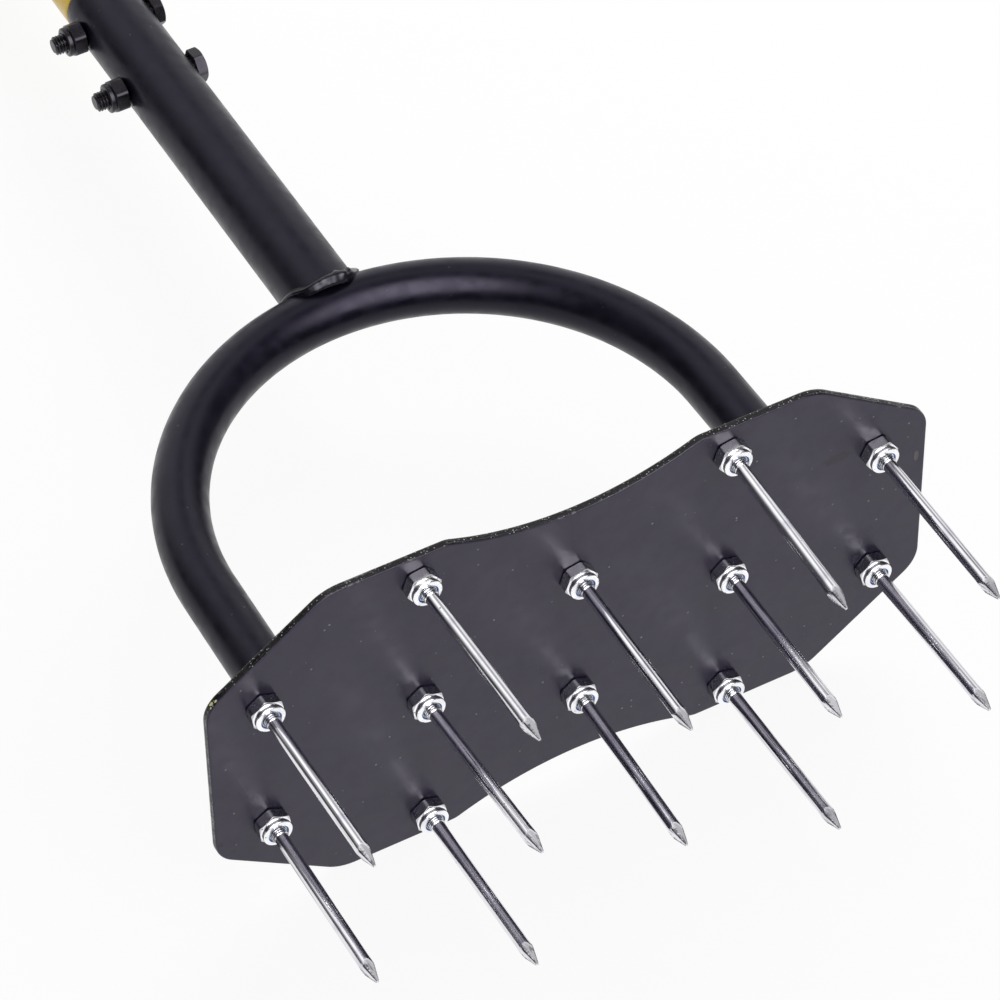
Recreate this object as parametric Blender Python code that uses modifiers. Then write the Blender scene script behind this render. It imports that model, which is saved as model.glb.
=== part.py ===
"""Lawn aerator: a stamped spike plate, driven in by foot, on a bent hoop and a two-piece T-handled shaft.

Twelve diamond-pointed spikes hang under the plate, each clamped by its hexagon head above and by a
lock nut with a nylon ring below. The hoop, the lower shaft and the plate are welded together. The
upper shaft is swaged to slip into the lower one, where two bolts go through both.

Metres, +Z up. The origin is on the ground under the middle of the plate: the spike tips are at z = 0.
X runs along the plate.
"""

import math

import bmesh
import bpy
from mathutils import Matrix, Vector

OBJECT_NAME = "lawn_aerator"

# Clearances
GAP = 0.0003  # between any two neighbouring pieces
BOLT_PLAY = 0.0004  # round a bolt in its hole

# Spike pattern: columns along X hold 2, 3, 2, 3 and 2 spikes
COLUMN_PITCH = 0.064
ROW_PITCH = 0.0635
SPIKES_IN_COLUMN = (2, 3, 2, 3, 2)

# Plate: narrow ends, a lobe at each column of three, and a waist in the middle
PLATE_THICKNESS = 0.0032
END_MARGIN = 0.022  # from the last column to the end of the plate
LOBE_MARGIN = 0.0125  # from the outer rows to the long edges
END_ROW_MARGIN = 0.0090  # from the end spikes' rows to where the slanted edges end
LOBE_OUTER_REACH = 0.0366  # how far a lobe's straight edge runs outwards from its column
LOBE_INNER_REACH = 0.0125  # and inwards
WAIST_INSET = 0.0105
LOBE_RADIUS = 0.020
END_RADIUS = 0.014
WAIST_RADIUS = 0.010
WAIST_STEPS = 12
ARC_STEP = math.radians(9)

# Spikes
SPIKE_REACH = 0.0844  # from the plate's underside to the tip
THREAD_DIAMETER = 0.0063
THREAD_DEPTH = 0.0005  # of the thread, whose root is the plain shank's size
THREAD_PAST_NUT = 0.0025
POINT_LENGTH = 0.0086
HEAD_OVERHANG = 0.00235  # of the head's flats past the thread
HEAD_HEIGHT = 0.0042
HEAD_CHAMFER = 0.0005
THREAD_SIDES = 12  # round every threaded piece, head and nut

# Lock nuts, sized outwards from their bore
NUT_HEIGHT = 0.0070
NYLON_WALL = 0.00115  # of the ring in a spike's nut
COLLAR_WALL = 0.0010  # of the collar round the ring
COLLAR_LIP = 0.0004  # of the rim that holds the ring in
COLLAR_STEP = 0.00035  # from the collar out to the flats
COLLAR_HEIGHT = 0.0024
RIM_THICKNESS = 0.0005
NUT_CHAMFER = 0.0006

# Hoop: two legs and half an ellipse
HOOP_DIAMETER = 0.0222
HOOP_WALL = 0.0018
HOOP_LEG_INSET = 0.0406  # from the end of the plate to a leg's axis
HOOP_LEG_LENGTH = 0.0784
HOOP_LEG_LEAN = 0.0013  # how much closer to the middle a leg is at its upper end
HOOP_RISE = 0.1110  # of the arch over its legs
HOOP_ARCH_STEPS = 24
COPE_STEPS = 8  # of the arch's stretch that the shaft is coped with
HOOP_SIDES = 16

# Shafts
SHAFT_DIAMETER = 0.0302
SHAFT_WALL = 0.0016
LOWER_SHAFT_LENGTH = 0.2050  # from the hoop's centre line to the joint
UPPER_SHAFT_LENGTH = 0.3980  # from the joint to the handle bar's centre line
SWAGE_PAST_BOLT = 0.0170  # from the lower bolt to the swage's foot
SWAGE_TAPER = 0.0060
SHOULDER_CHAMFER = 0.0010
COPED_END = 0.0010  # from a coped end to the centre line of the tube that it straddles
SHAFT_SIDES = 32
SHAFT_TURN = (0, 0, math.pi / SHAFT_SIDES)  # puts the middle of a facet, not an edge, in front of each bolt

# Bolts through the shaft joint
BOLT_DIAMETER = 0.0080
BOLT_HEAD_HEIGHT = 0.0048
BOLT_NUT_HEIGHT = 0.0080
BOLT_NYLON_WALL = 0.00055
BOLT_TIP_CHAMFER = 0.0006
BOLT_PAST_NUT = 0.0050
BOLT_EDGE_DISTANCE = 0.0140  # from the joint down to the upper bolt
BOLT_SPACING = 0.0390

# Handle
BAR_DIAMETER = 0.0254
BAR_WALL = 0.0016
BAR_SHOWING = 0.0130  # from the weld to a grip
BAR_SIDES = 24
GRIP_LENGTH = 0.1120
GRIP_WALL = 0.0034
GRIP_END = 0.0050
GRIP_END_ROUND = 0.0035
GRIP_BAND = 0.0180  # the plain band at each end of the ribs
GRIP_RIBS = 5
RIB_HEIGHT = 0.0011
FLANGE_HEIGHT = 0.0030
FLANGE_THICKNESS = 0.0030
GRIP_SIDES = 16

# Welds
LEG_WELD_HEIGHT = 0.0045
LEG_WELD_WIDTH = 0.0045
LEG_WELD_STEPS = 3
SADDLE_WELD_RADIUS = 0.0028
SADDLE_WELD_OFFSET = 0.0006  # of the bead's middle from the shaft's surface
SADDLE_WELD_SIDES = 8
SADDLE_WELD_STEPS = 28

# Worked out from the sizes above
SPIKE_COLUMNS = len(SPIKES_IN_COLUMN)
PLATE_UNDERSIDE = SPIKE_REACH
PLATE_TOP = PLATE_UNDERSIDE + PLATE_THICKNESS
PLATE_HALF_WIDTH = (SPIKE_COLUMNS - 1) / 2 * COLUMN_PITCH + END_MARGIN
PLATE_HALF_DEPTH = ROW_PITCH + LOBE_MARGIN
END_HALF_DEPTH = ROW_PITCH / 2 + END_ROW_MARGIN
THREAD_RADIUS = THREAD_DIAMETER / 2
SHANK_RADIUS = THREAD_RADIUS - THREAD_DEPTH
HOLE_RADIUS = THREAD_RADIUS + GAP
HEAD_FLATS = THREAD_DIAMETER + 2 * HEAD_OVERHANG
HEAD_UNDERSIDE = PLATE_TOP + GAP
NUT_SEAT = PLATE_UNDERSIDE - GAP
HOOP_RADIUS = HOOP_DIAMETER / 2
HOOP_FOOT = PLATE_TOP + GAP
HOOP_HALF_WIDTH = PLATE_HALF_WIDTH - HOOP_LEG_INSET
HOOP_SPRING = HOOP_FOOT + HOOP_LEG_LENGTH
HOOP_CROWN = HOOP_SPRING + HOOP_RISE
SHAFT_RADIUS = SHAFT_DIAMETER / 2
SHAFT_BORE = SHAFT_RADIUS - SHAFT_WALL
SWAGE_RADIUS = SHAFT_BORE - GAP
JOINT_HEIGHT = HOOP_CROWN + LOWER_SHAFT_LENGTH
UPPER_BOLT_HEIGHT = JOINT_HEIGHT - BOLT_EDGE_DISTANCE
LOWER_BOLT_HEIGHT = UPPER_BOLT_HEIGHT - BOLT_SPACING
SWAGE_FOOT = LOWER_BOLT_HEIGHT - SWAGE_PAST_BOLT
BOLT_SEAT = SHAFT_RADIUS + GAP
BAR_RADIUS = BAR_DIAMETER / 2
BAR_HEIGHT = JOINT_HEIGHT + GAP + UPPER_SHAFT_LENGTH
GRIP_MOUTH = SHAFT_RADIUS + 2 * SADDLE_WELD_RADIUS + BAR_SHOWING
BAR_HALF_LENGTH = GRIP_MOUTH + GRIP_LENGTH - GRIP_END - GAP

MATERIALS = {
    "powder_coat": ((0.055, 0.052, 0.066, 1.0), 0.62, 0.0),
    "tube_paint": ((0.028, 0.027, 0.034, 1.0), 0.45, 0.0),
    "yellow_paint": ((0.80, 0.55, 0.03, 1.0), 0.40, 0.0),
    "zinc_steel": ((0.72, 0.73, 0.75, 1.0), 0.22, 1.0),
    "black_steel": ((0.020, 0.020, 0.022, 1.0), 0.32, 1.0),
    "blue_nylon": ((0.10, 0.22, 0.48, 1.0), 0.45, 0.0),
    "rubber": ((0.022, 0.022, 0.024, 1.0), 0.80, 0.0),
}


def clear_scene():
    for obj in list(bpy.data.objects):
        bpy.data.objects.remove(obj, do_unlink=True)


def make_materials():
    made = {}
    for name, (colour, roughness, metallic) in MATERIALS.items():
        material = bpy.data.materials.new(name)
        material.use_nodes = True
        shader = material.node_tree.nodes["Principled BSDF"]
        shader.inputs["Base Color"].default_value = colour
        shader.inputs["Roughness"].default_value = roughness
        shader.inputs["Metallic"].default_value = metallic
        material.diffuse_color = colour
        made[name] = material
    return made


def make_collection(name):
    collection = bpy.data.collections.new(name)
    bpy.context.scene.collection.children.link(collection)
    return collection


# Shared helpers


def place(name, data, collection, material=None, location=(0, 0, 0), rotation=(0, 0, 0)):
    """Links a new object that uses the given mesh or curve."""
    obj = bpy.data.objects.new(name, data)
    obj.location = location
    obj.rotation_euler = rotation
    if material is not None and not data.materials:
        data.materials.append(material)
    collection.objects.link(obj)
    return obj


def mark_helper(obj):
    """A cutter is drawn as wire and left out of renders."""
    obj.hide_render = True
    obj.display_type = "WIRE"
    return obj


def smooth_round_faces(mesh):
    mesh.shade_smooth()
    mesh.set_sharp_from_angle(angle=math.radians(35))


def profile_mesh(name, points, closed):
    """The half section of a turned shape, as (radius, height) points in the XZ plane."""
    mesh = bpy.data.meshes.new(name)
    count = len(points)
    edges = [(i, i + 1) for i in range(count - 1)]
    if closed:
        edges.append((count - 1, 0))
    mesh.from_pydata([(radius, 0, height) for radius, height in points], edges, [])
    return mesh


def add_screw(obj, sides):
    screw = obj.modifiers.new("turn", "SCREW")
    screw.axis = "Z"
    screw.steps = sides
    screw.render_steps = sides
    screw.use_merge_vertices = True
    screw.merge_threshold = 0.00001
    return screw


def turned(name, points, sides, collection, closed=True, **placing):
    """A turned piece. Its profile runs down the outer side first, so its faces point outwards."""
    obj = place(name, profile_mesh(name, points, closed), collection, **placing)
    add_screw(obj, sides)
    return obj


def add_boolean(obj, other, operation="DIFFERENCE"):
    boolean = obj.modifiers.new(operation.lower(), "BOOLEAN")
    boolean.operation = operation
    boolean.solver = "EXACT"
    boolean.object = other


def bake(obj):
    """The object's evaluated mesh with its modifiers applied, after which the object is removed."""
    bpy.context.view_layer.update()
    graph = bpy.context.evaluated_depsgraph_get()
    mesh = bpy.data.meshes.new_from_object(obj.evaluated_get(graph))
    mesh.name = obj.name
    work = bmesh.new()
    work.from_mesh(mesh)
    bmesh.ops.remove_doubles(work, verts=work.verts, dist=1e-6)
    work.to_mesh(mesh)
    work.free()
    bpy.data.objects.remove(obj, do_unlink=True)
    return mesh


def cylinder(name, radius, low, high, sides, collection, **placing):
    mesh = bpy.data.meshes.new(name)
    work = bmesh.new()
    bmesh.ops.create_cone(
        work,
        cap_ends=True,
        segments=sides,
        radius1=radius,
        radius2=radius,
        depth=high - low,
        matrix=Matrix.Translation((0, 0, (low + high) / 2)),
    )
    work.to_mesh(mesh)
    work.free()
    return place(name, mesh, collection, **placing)


def hexagon(name, across_flats, low, high, collection):
    return cylinder(name, across_flats / math.sqrt(3), low, high, 6, collection)


def swept(name, points, radius, sides, collection, caps=True, cyclic=False):
    """A tube of a round section along a line of points, as a mesh object."""
    curve = bpy.data.curves.new(name, "CURVE")
    curve.dimensions = "3D"
    curve.bevel_depth = radius
    curve.bevel_resolution = (sides - 4) // 2
    curve.use_fill_caps = caps
    spline = curve.splines.new("POLY")
    spline.points.add(len(points) - 1)
    for point, place_at in zip(spline.points, points):
        point.co = (*place_at, 1)
    spline.use_cyclic_u = cyclic
    return place(name, bake(place(name + "_line", curve, collection)), collection)


def rounded_outline(corners):
    """The points of a closed outline whose corners, given as (x, y, radius), are rounded by arcs."""
    outline = []
    for index, (x, y, radius) in enumerate(corners):
        corner = Vector((x, y))
        before = Vector(corners[index - 1][:2]) - corner
        after = Vector(corners[(index + 1) % len(corners)][:2]) - corner
        turn = math.pi - before.angle(after)
        if radius == 0 or turn < ARC_STEP / 2:
            outline.append(corner)
            continue
        setback = radius * math.tan(turn / 2)
        start = corner + before.normalized() * setback
        middle = (before.normalized() + after.normalized()).normalized()
        centre = corner + middle * (radius / math.cos(turn / 2))
        side = 1 if before.cross(after) < 0 else -1
        steps = max(2, round(turn / ARC_STEP))
        spoke = start - centre
        for step in range(steps + 1):
            outline.append(centre + Matrix.Rotation(side * turn * step / steps, 2) @ spoke)
    return outline


# Plate and spike pattern


def spike_places():
    """The (x, y) of each spike, column by column."""
    places = []
    for column, count in enumerate(SPIKES_IN_COLUMN):
        x = (column - (SPIKE_COLUMNS - 1) / 2) * COLUMN_PITCH
        for row in range(count):
            places.append((x, (row - (count - 1) / 2) * ROW_PITCH))
    return places


def waist_arc():
    """The concave middle of the plate's rear edge, left to right, between its two inner lobe corners."""
    reach = COLUMN_PITCH - LOBE_INNER_REACH
    radius = (reach**2 + WAIST_INSET**2) / (2 * WAIST_INSET)
    centre_y = PLATE_HALF_DEPTH - WAIST_INSET + radius
    half_angle = math.asin(reach / radius)
    angles = [half_angle * (2 * step / WAIST_STEPS - 1) for step in range(WAIST_STEPS + 1)]
    return [(radius * math.sin(a), centre_y - radius * math.cos(a)) for a in angles]


def plate_corners():
    """The plate's corners, clockwise seen from above, each with the radius that rounds it."""
    lobe_outer = COLUMN_PITCH + LOBE_OUTER_REACH
    waist = waist_arc()
    rear = [(-PLATE_HALF_WIDTH, END_HALF_DEPTH, END_RADIUS)]
    rear.append((-lobe_outer, PLATE_HALF_DEPTH, LOBE_RADIUS))
    rear.append((*waist[0], WAIST_RADIUS))
    rear += [(x, y, 0) for x, y in waist[1:-1]]
    rear.append((*waist[-1], WAIST_RADIUS))
    rear.append((lobe_outer, PLATE_HALF_DEPTH, LOBE_RADIUS))
    rear.append((PLATE_HALF_WIDTH, END_HALF_DEPTH, END_RADIUS))
    front = [(-x, -y, radius) for x, y, radius in rear]
    return rear + front


def add_loop(curve, points):
    spline = curve.splines.new("POLY")
    spline.points.add(len(points) - 1)
    for point, (x, y) in zip(spline.points, points):
        point.co = (x, y, 0, 1)
    spline.use_cyclic_u = True


def build_plate(parts, materials):
    """The outline with a hole for each spike, as a flat curve drawn out to the plate's thickness."""
    curve = bpy.data.curves.new("tine_plate", "CURVE")
    curve.dimensions = "2D"
    curve.fill_mode = "BOTH"
    curve.extrude = PLATE_THICKNESS / 2
    add_loop(curve, [tuple(point) for point in rounded_outline(plate_corners())])
    for x, y in spike_places():
        angles = [2 * math.pi * step / THREAD_SIDES for step in range(THREAD_SIDES)]
        add_loop(curve, [(x + HOLE_RADIUS * math.cos(a), y + HOLE_RADIUS * math.sin(a)) for a in angles])
    middle = PLATE_UNDERSIDE + PLATE_THICKNESS / 2
    place("tine_plate", curve, parts, materials["powder_coat"], location=(0, 0, middle))


# Spikes with their nuts


def diamond_point(mesh, radius):
    """Cuts four flats that meet at the tip, at the mesh's origin, into the end of a round shank."""
    work = bmesh.new()
    work.from_mesh(mesh)
    for quarter in range(4):
        turn = Matrix.Rotation(math.pi / 2 * quarter, 3, "Z")
        normal = turn @ Vector((POINT_LENGTH, 0, -radius))
        everything = work.verts[:] + work.edges[:] + work.faces[:]
        bmesh.ops.bisect_plane(
            work, geom=everything, dist=1e-8, plane_co=(0, 0, 0), plane_no=normal, clear_outer=True
        )
        bmesh.ops.holes_fill(work, edges=[edge for edge in work.edges if edge.is_boundary])
    bmesh.ops.remove_doubles(work, verts=work.verts, dist=1e-6)
    bmesh.ops.recalc_face_normals(work, faces=work.faces)
    work.to_mesh(mesh)
    work.free()


def hex_head(name, across_flats, seat, height, shop):
    """A hexagon head on a seat height: a chamfered round blank, cut to the hexagon."""
    corner = across_flats / math.sqrt(3)
    top = seat + height
    blank = turned(
        name + "_blank",
        [
            (0, top),
            (across_flats / 2 - HEAD_CHAMFER, top),
            (corner, top - HEAD_CHAMFER),
            (corner, seat),
            (0, seat),
        ],
        THREAD_SIDES,
        shop,
        closed=False,
    )
    flats = hexagon(name + "_flats", across_flats, seat - height, top + height, shop)
    add_boolean(blank, flats, "INTERSECT")
    return place(name, bake(blank), shop)


def spike_mesh(shop):
    """A spike with its tip at the origin: hexagon head, threaded neck, plain shank and diamond point."""
    inside_head = HEAD_UNDERSIDE + HEAD_HEIGHT / 2
    thread_end = NUT_SEAT - NUT_HEIGHT - THREAD_PAST_NUT
    profile = [
        (0, inside_head),
        (THREAD_RADIUS, inside_head),
        (THREAD_RADIUS, thread_end),
        (SHANK_RADIUS, thread_end - THREAD_DEPTH),
        (SHANK_RADIUS, -POINT_LENGTH),
        (0, -POINT_LENGTH),
    ]
    spike = turned("spike", profile, THREAD_SIDES, shop, closed=False)
    add_boolean(spike, hex_head("spike_head", HEAD_FLATS, HEAD_UNDERSIDE, HEAD_HEIGHT, shop), "UNION")
    mesh = bake(spike)
    diamond_point(mesh, SHANK_RADIUS)
    smooth_round_faces(mesh)
    return mesh


class LockNut:
    """The sizes of a lock nut and of the nylon ring in it, outwards from the thread that they take.

    Both stand on z = 0, with the nut's collar upwards.
    """

    def __init__(self, name, thread_diameter, height, nylon_wall):
        self.name = name
        self.height = height
        self.bore = thread_diameter / 2 + GAP
        self.ring_outside = self.bore + nylon_wall
        self.pocket = self.ring_outside + GAP
        self.collar = self.pocket + COLLAR_WALL
        self.across_flats = 2 * (self.collar + COLLAR_STEP)
        self.shoulder = height - COLLAR_HEIGHT
        self.pocket_top = height - RIM_THICKNESS

    def nut_mesh(self, shop):
        """A chamfered hexagon under a round collar with a pocket for the ring."""
        corner = self.across_flats / math.sqrt(3) + NUT_CHAMFER / 6
        profile = [
            (self.collar - NUT_CHAMFER, self.height),
            (self.collar, self.height - NUT_CHAMFER),
            (self.collar, self.shoulder),
            (corner, self.shoulder - NUT_CHAMFER),
            (corner, 0),
            (self.bore, 0),
            (self.bore, self.shoulder),
            (self.pocket, self.shoulder),
            (self.pocket, self.pocket_top),
            (self.pocket - COLLAR_LIP, self.pocket_top),
            (self.pocket - COLLAR_LIP, self.height),
        ]
        nut = turned(self.name, profile, THREAD_SIDES, shop)
        flats = hexagon(self.name + "_flats", self.across_flats, -self.height, 2 * self.height, shop)
        add_boolean(nut, flats, "INTERSECT")
        mesh = bake(nut)
        smooth_round_faces(mesh)
        return mesh

    def ring_mesh(self, shop):
        """The ring that grips the thread, free of the pocket by the gap on every side."""
        low = self.shoulder + GAP
        high = self.pocket_top - GAP
        outer = [(self.ring_outside, high), (self.ring_outside, low)]
        inner = [(self.bore, low), (self.bore, high)]
        mesh = bake(turned(self.name + "_ring", outer + inner, THREAD_SIDES, shop))
        smooth_round_faces(mesh)
        return mesh


def build_spikes(parts, shop, materials):
    """The spikes, hung from the plate's top, and their nuts and rings, turned over under its underside."""
    lock_nut = LockNut("lock_nut", THREAD_DIAMETER, NUT_HEIGHT, NYLON_WALL)
    spike = spike_mesh(shop)
    nut = lock_nut.nut_mesh(shop)
    ring = lock_nut.ring_mesh(shop)
    zinc = materials["zinc_steel"]
    blue = materials["blue_nylon"]
    turned_over = (math.pi, 0, 0)
    for number, (x, y) in enumerate(spike_places(), start=1):
        seat = (x, y, NUT_SEAT)
        place(f"spike_{number:02d}", spike, parts, zinc, (x, y, 0))
        place(f"lock_nut_{number:02d}", nut, parts, zinc, seat, turned_over)
        place(f"nylon_ring_{number:02d}", ring, parts, blue, seat, turned_over)


# Hoop with its welds


def hoop_line(from_angle=0.0, to_angle=math.pi, steps=HOOP_ARCH_STEPS):
    """Points along the arch's centre line, between two angles from its right-hand leg."""
    half = HOOP_HALF_WIDTH - HOOP_LEG_LEAN
    angles = [from_angle + (to_angle - from_angle) * step / steps for step in range(steps + 1)]
    return [(half * math.cos(a), 0, HOOP_SPRING + HOOP_RISE * math.sin(a)) for a in angles]


def build_hoop(parts, materials):
    """A tube open at both ends, which stand on the plate."""
    foot = [(HOOP_HALF_WIDTH, 0, HOOP_FOOT), (HOOP_HALF_WIDTH, 0, HOOP_FOOT + LEG_WELD_HEIGHT)]
    line = [*foot, *hoop_line(), *((-x, y, z) for x, y, z in reversed(foot))]
    hoop = swept("hoop_tube", line, HOOP_RADIUS, HOOP_SIDES, parts, caps=False)
    shell = hoop.modifiers.new("wall", "SOLIDIFY")
    shell.thickness = HOOP_WALL
    shell.offset = -1
    hoop.data.materials.append(materials["tube_paint"])
    smooth_round_faces(hoop.data)


def build_leg_welds(parts, shop, materials):
    """A bead round each leg's foot."""
    inside = HOOP_RADIUS + GAP
    angles = [math.pi / 2 * step / LEG_WELD_STEPS for step in range(LEG_WELD_STEPS + 1)]
    bead = [(inside + LEG_WELD_WIDTH * math.sin(a), LEG_WELD_HEIGHT * math.cos(a)) for a in angles]
    mesh = bake(turned("leg_weld", [*bead, (inside, 0)], HOOP_SIDES, shop))
    smooth_round_faces(mesh)
    for side, name in ((-1, "hoop_weld_left"), (1, "hoop_weld_right")):
        place(name, mesh, parts, materials["tube_paint"], (side * HOOP_HALF_WIDTH, 0, HOOP_FOOT))


# Shafts


def saddle_line(run_height, run_radius, side):
    """A closed line round the shaft, on the upper side of a crossing tube or, for side -1, the lower."""
    ring = SHAFT_RADIUS + SADDLE_WELD_OFFSET
    points = []
    for step in range(SADDLE_WELD_STEPS):
        angle = 2 * math.pi * step / SADDLE_WELD_STEPS
        x = ring * math.cos(angle)
        y = ring * math.sin(angle)
        over = math.sqrt(max(run_radius**2 - y**2, 0))
        points.append((x, y, run_height(x) + side * over))
    return points


def saddle_weld(name, line, run_cutter, shaft_end, side, parts, cutters, material):
    """A bead along a saddle line, cut back from the crossing tube and from the shaft."""
    bead = swept(name, line, SADDLE_WELD_RADIUS, SADDLE_WELD_SIDES, parts, cyclic=True)
    bead.data.materials.append(material)
    far = shaft_end + side * 4 * SHAFT_RADIUS
    near = shaft_end - side * GAP
    low, high = min(far, near), max(far, near)
    cutter_name = name + "_shaft_cutter"
    shaft = cylinder(cutter_name, SHAFT_RADIUS + GAP, low, high, SHAFT_SIDES, cutters, rotation=SHAFT_TURN)
    add_boolean(bead, mark_helper(shaft))
    add_boolean(bead, run_cutter)


def bolt_hole_cutters(cutters):
    """One cross drill for each bolt, through both walls of both shafts."""
    drills = []
    for label, height in (("lower", LOWER_BOLT_HEIGHT), ("upper", UPPER_BOLT_HEIGHT)):
        drill = cylinder(
            f"{label}_bolt_drill",
            BOLT_DIAMETER / 2 + BOLT_PLAY,
            -2 * SHAFT_RADIUS,
            2 * SHAFT_RADIUS,
            THREAD_SIDES,
            cutters,
            location=(0, 0, height),
            rotation=(0, math.pi / 2, 0),
        )
        drills.append(mark_helper(drill))
    return drills


def hoop_crown_height(x):
    """Height of the hoop's centre line at x, near its crown."""
    half = HOOP_HALF_WIDTH - HOOP_LEG_LEAN
    return HOOP_SPRING + HOOP_RISE * math.sqrt(1 - (x / half) ** 2)


def build_lower_shaft(parts, cutters, drills, materials):
    """The socket tube: its lower end is coped over the hoop's crown, and its upper end takes the swage."""
    foot = HOOP_CROWN + COPED_END
    shaft = turned(
        "lower_shaft",
        [
            (SHAFT_RADIUS, JOINT_HEIGHT),
            (SHAFT_RADIUS, foot),
            (SHAFT_BORE, foot),
            (SHAFT_BORE, JOINT_HEIGHT),
        ],
        SHAFT_SIDES,
        parts,
        material=materials["tube_paint"],
        rotation=SHAFT_TURN,
    )
    reach = 2 * SHAFT_RADIUS / HOOP_HALF_WIDTH
    crown = hoop_line(math.pi / 2 - reach, math.pi / 2 + reach, COPE_STEPS)
    cope = mark_helper(swept("crown_cope", crown, HOOP_RADIUS + GAP, HOOP_SIDES, cutters))
    add_boolean(shaft, cope)
    for drill in drills:
        add_boolean(shaft, drill)
    line = saddle_line(hoop_crown_height, HOOP_RADIUS, 1)
    saddle_weld("shaft_weld", line, cope, foot, 1, parts, cutters, materials["tube_paint"])


def build_upper_shaft(parts, cutters, drills, materials):
    """The painted tube: swaged at its foot to slip into the lower shaft, and coped under the handle bar."""
    shoulder = JOINT_HEIGHT + GAP
    top = BAR_HEIGHT - COPED_END
    inner = SWAGE_RADIUS - SHAFT_WALL
    shaft = turned(
        "upper_shaft",
        [
            (SHAFT_RADIUS, top),
            (SHAFT_RADIUS, shoulder + SHOULDER_CHAMFER),
            (SHAFT_RADIUS - min(SHOULDER_CHAMFER, SHAFT_WALL / 2), shoulder),
            (SWAGE_RADIUS, shoulder),
            (SWAGE_RADIUS, SWAGE_FOOT),
            (inner, SWAGE_FOOT),
            (inner, shoulder),
            (SHAFT_BORE, shoulder + SWAGE_TAPER),
            (SHAFT_BORE, top),
        ],
        SHAFT_SIDES,
        parts,
        material=materials["yellow_paint"],
        rotation=SHAFT_TURN,
    )
    cope = mark_helper(
        cylinder(
            "bar_cope",
            BAR_RADIUS + GAP,
            -2 * SHAFT_RADIUS,
            2 * SHAFT_RADIUS,
            BAR_SIDES,
            cutters,
            location=(0, 0, BAR_HEIGHT),
            rotation=(0, math.pi / 2, 0),
        )
    )
    add_boolean(shaft, cope)
    for drill in drills:
        add_boolean(shaft, drill)
    line = saddle_line(lambda x: BAR_HEIGHT, BAR_RADIUS, -1)
    saddle_weld("handle_weld", line, cope, top, -1, parts, cutters, materials["yellow_paint"])


# Bolts through the shaft joint


def bolt_mesh(across_flats, shop):
    """A hexagon bolt along +Z with its head's seat at the origin and its shank below it."""
    length = 2 * BOLT_SEAT + BOLT_NUT_HEIGHT + BOLT_PAST_NUT
    radius = BOLT_DIAMETER / 2
    profile = [
        (0, BOLT_HEAD_HEIGHT / 2),
        (radius, BOLT_HEAD_HEIGHT / 2),
        (radius, BOLT_TIP_CHAMFER - length),
        (radius - BOLT_TIP_CHAMFER, -length),
        (0, -length),
    ]
    bolt = turned("bolt", profile, THREAD_SIDES, shop, closed=False)
    add_boolean(bolt, hex_head("bolt_head", across_flats, 0, BOLT_HEAD_HEIGHT, shop), "UNION")
    mesh = bake(bolt)
    smooth_round_faces(mesh)
    return mesh


def build_bolts(parts, shop, materials):
    """Both bolts, heads on the +X side, with a lock nut and its ring on the other."""
    lock_nut = LockNut("bolt_nut", BOLT_DIAMETER, BOLT_NUT_HEIGHT, BOLT_NYLON_WALL)
    bolt = bolt_mesh(lock_nut.across_flats, shop)
    nut = lock_nut.nut_mesh(shop)
    ring = lock_nut.ring_mesh(shop)
    black = materials["black_steel"]
    blue = materials["blue_nylon"]
    to_right = (0, math.pi / 2, 0)
    to_left = (0, -math.pi / 2, 0)
    for label, height in (("lower", LOWER_BOLT_HEIGHT), ("upper", UPPER_BOLT_HEIGHT)):
        place(f"shaft_bolt_{label}", bolt, parts, black, (BOLT_SEAT, 0, height), to_right)
        place(f"bolt_nut_{label}", nut, parts, black, (-BOLT_SEAT, 0, height), to_left)
        place(f"bolt_ring_{label}", ring, parts, blue, (-BOLT_SEAT, 0, height), to_left)


# Handle


def build_handle_bar(parts, materials):
    bore = BAR_RADIUS - BAR_WALL
    half = BAR_HALF_LENGTH
    turned(
        "handle_bar",
        [(BAR_RADIUS, half), (BAR_RADIUS, -half), (bore, -half), (bore, half)],
        BAR_SIDES,
        parts,
        material=materials["yellow_paint"],
        location=(0, 0, BAR_HEIGHT),
        rotation=(0, math.pi / 2, 0),
    )


def grip_profile():
    """Half section of a grip along +Z: closed end, ribs between two plain bands, flange and mouth."""
    bore = BAR_RADIUS + GAP
    outside = bore + GRIP_WALL
    flange = outside + FLANGE_HEIGHT
    pitch = (GRIP_LENGTH - 2 * GRIP_BAND) / GRIP_RIBS
    profile = [
        (0, GRIP_LENGTH),
        (outside - GRIP_END_ROUND, GRIP_LENGTH),
        (outside, GRIP_LENGTH - GRIP_END_ROUND),
    ]
    for rib in range(GRIP_RIBS):
        top = GRIP_LENGTH - GRIP_BAND - rib * pitch
        profile += [(outside, top), (outside + RIB_HEIGHT, top - pitch / 2)]
    profile += [(outside, GRIP_BAND), (outside, 2 * FLANGE_THICKNESS)]
    profile += [(flange, FLANGE_THICKNESS), (flange, 0)]
    profile += [(bore, 0), (bore, GRIP_LENGTH - GRIP_END), (0, GRIP_LENGTH - GRIP_END)]
    return profile


def build_grips(parts, shop, materials):
    """One grip over each end of the bar."""
    mesh = bake(turned("grip", grip_profile(), GRIP_SIDES, shop, closed=False))
    smooth_round_faces(mesh)
    for side, name in ((-1, "grip_left"), (1, "grip_right")):
        location = (side * GRIP_MOUTH, 0, BAR_HEIGHT)
        place(name, mesh, parts, materials["rubber"], location, (0, side * math.pi / 2, 0))


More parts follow.
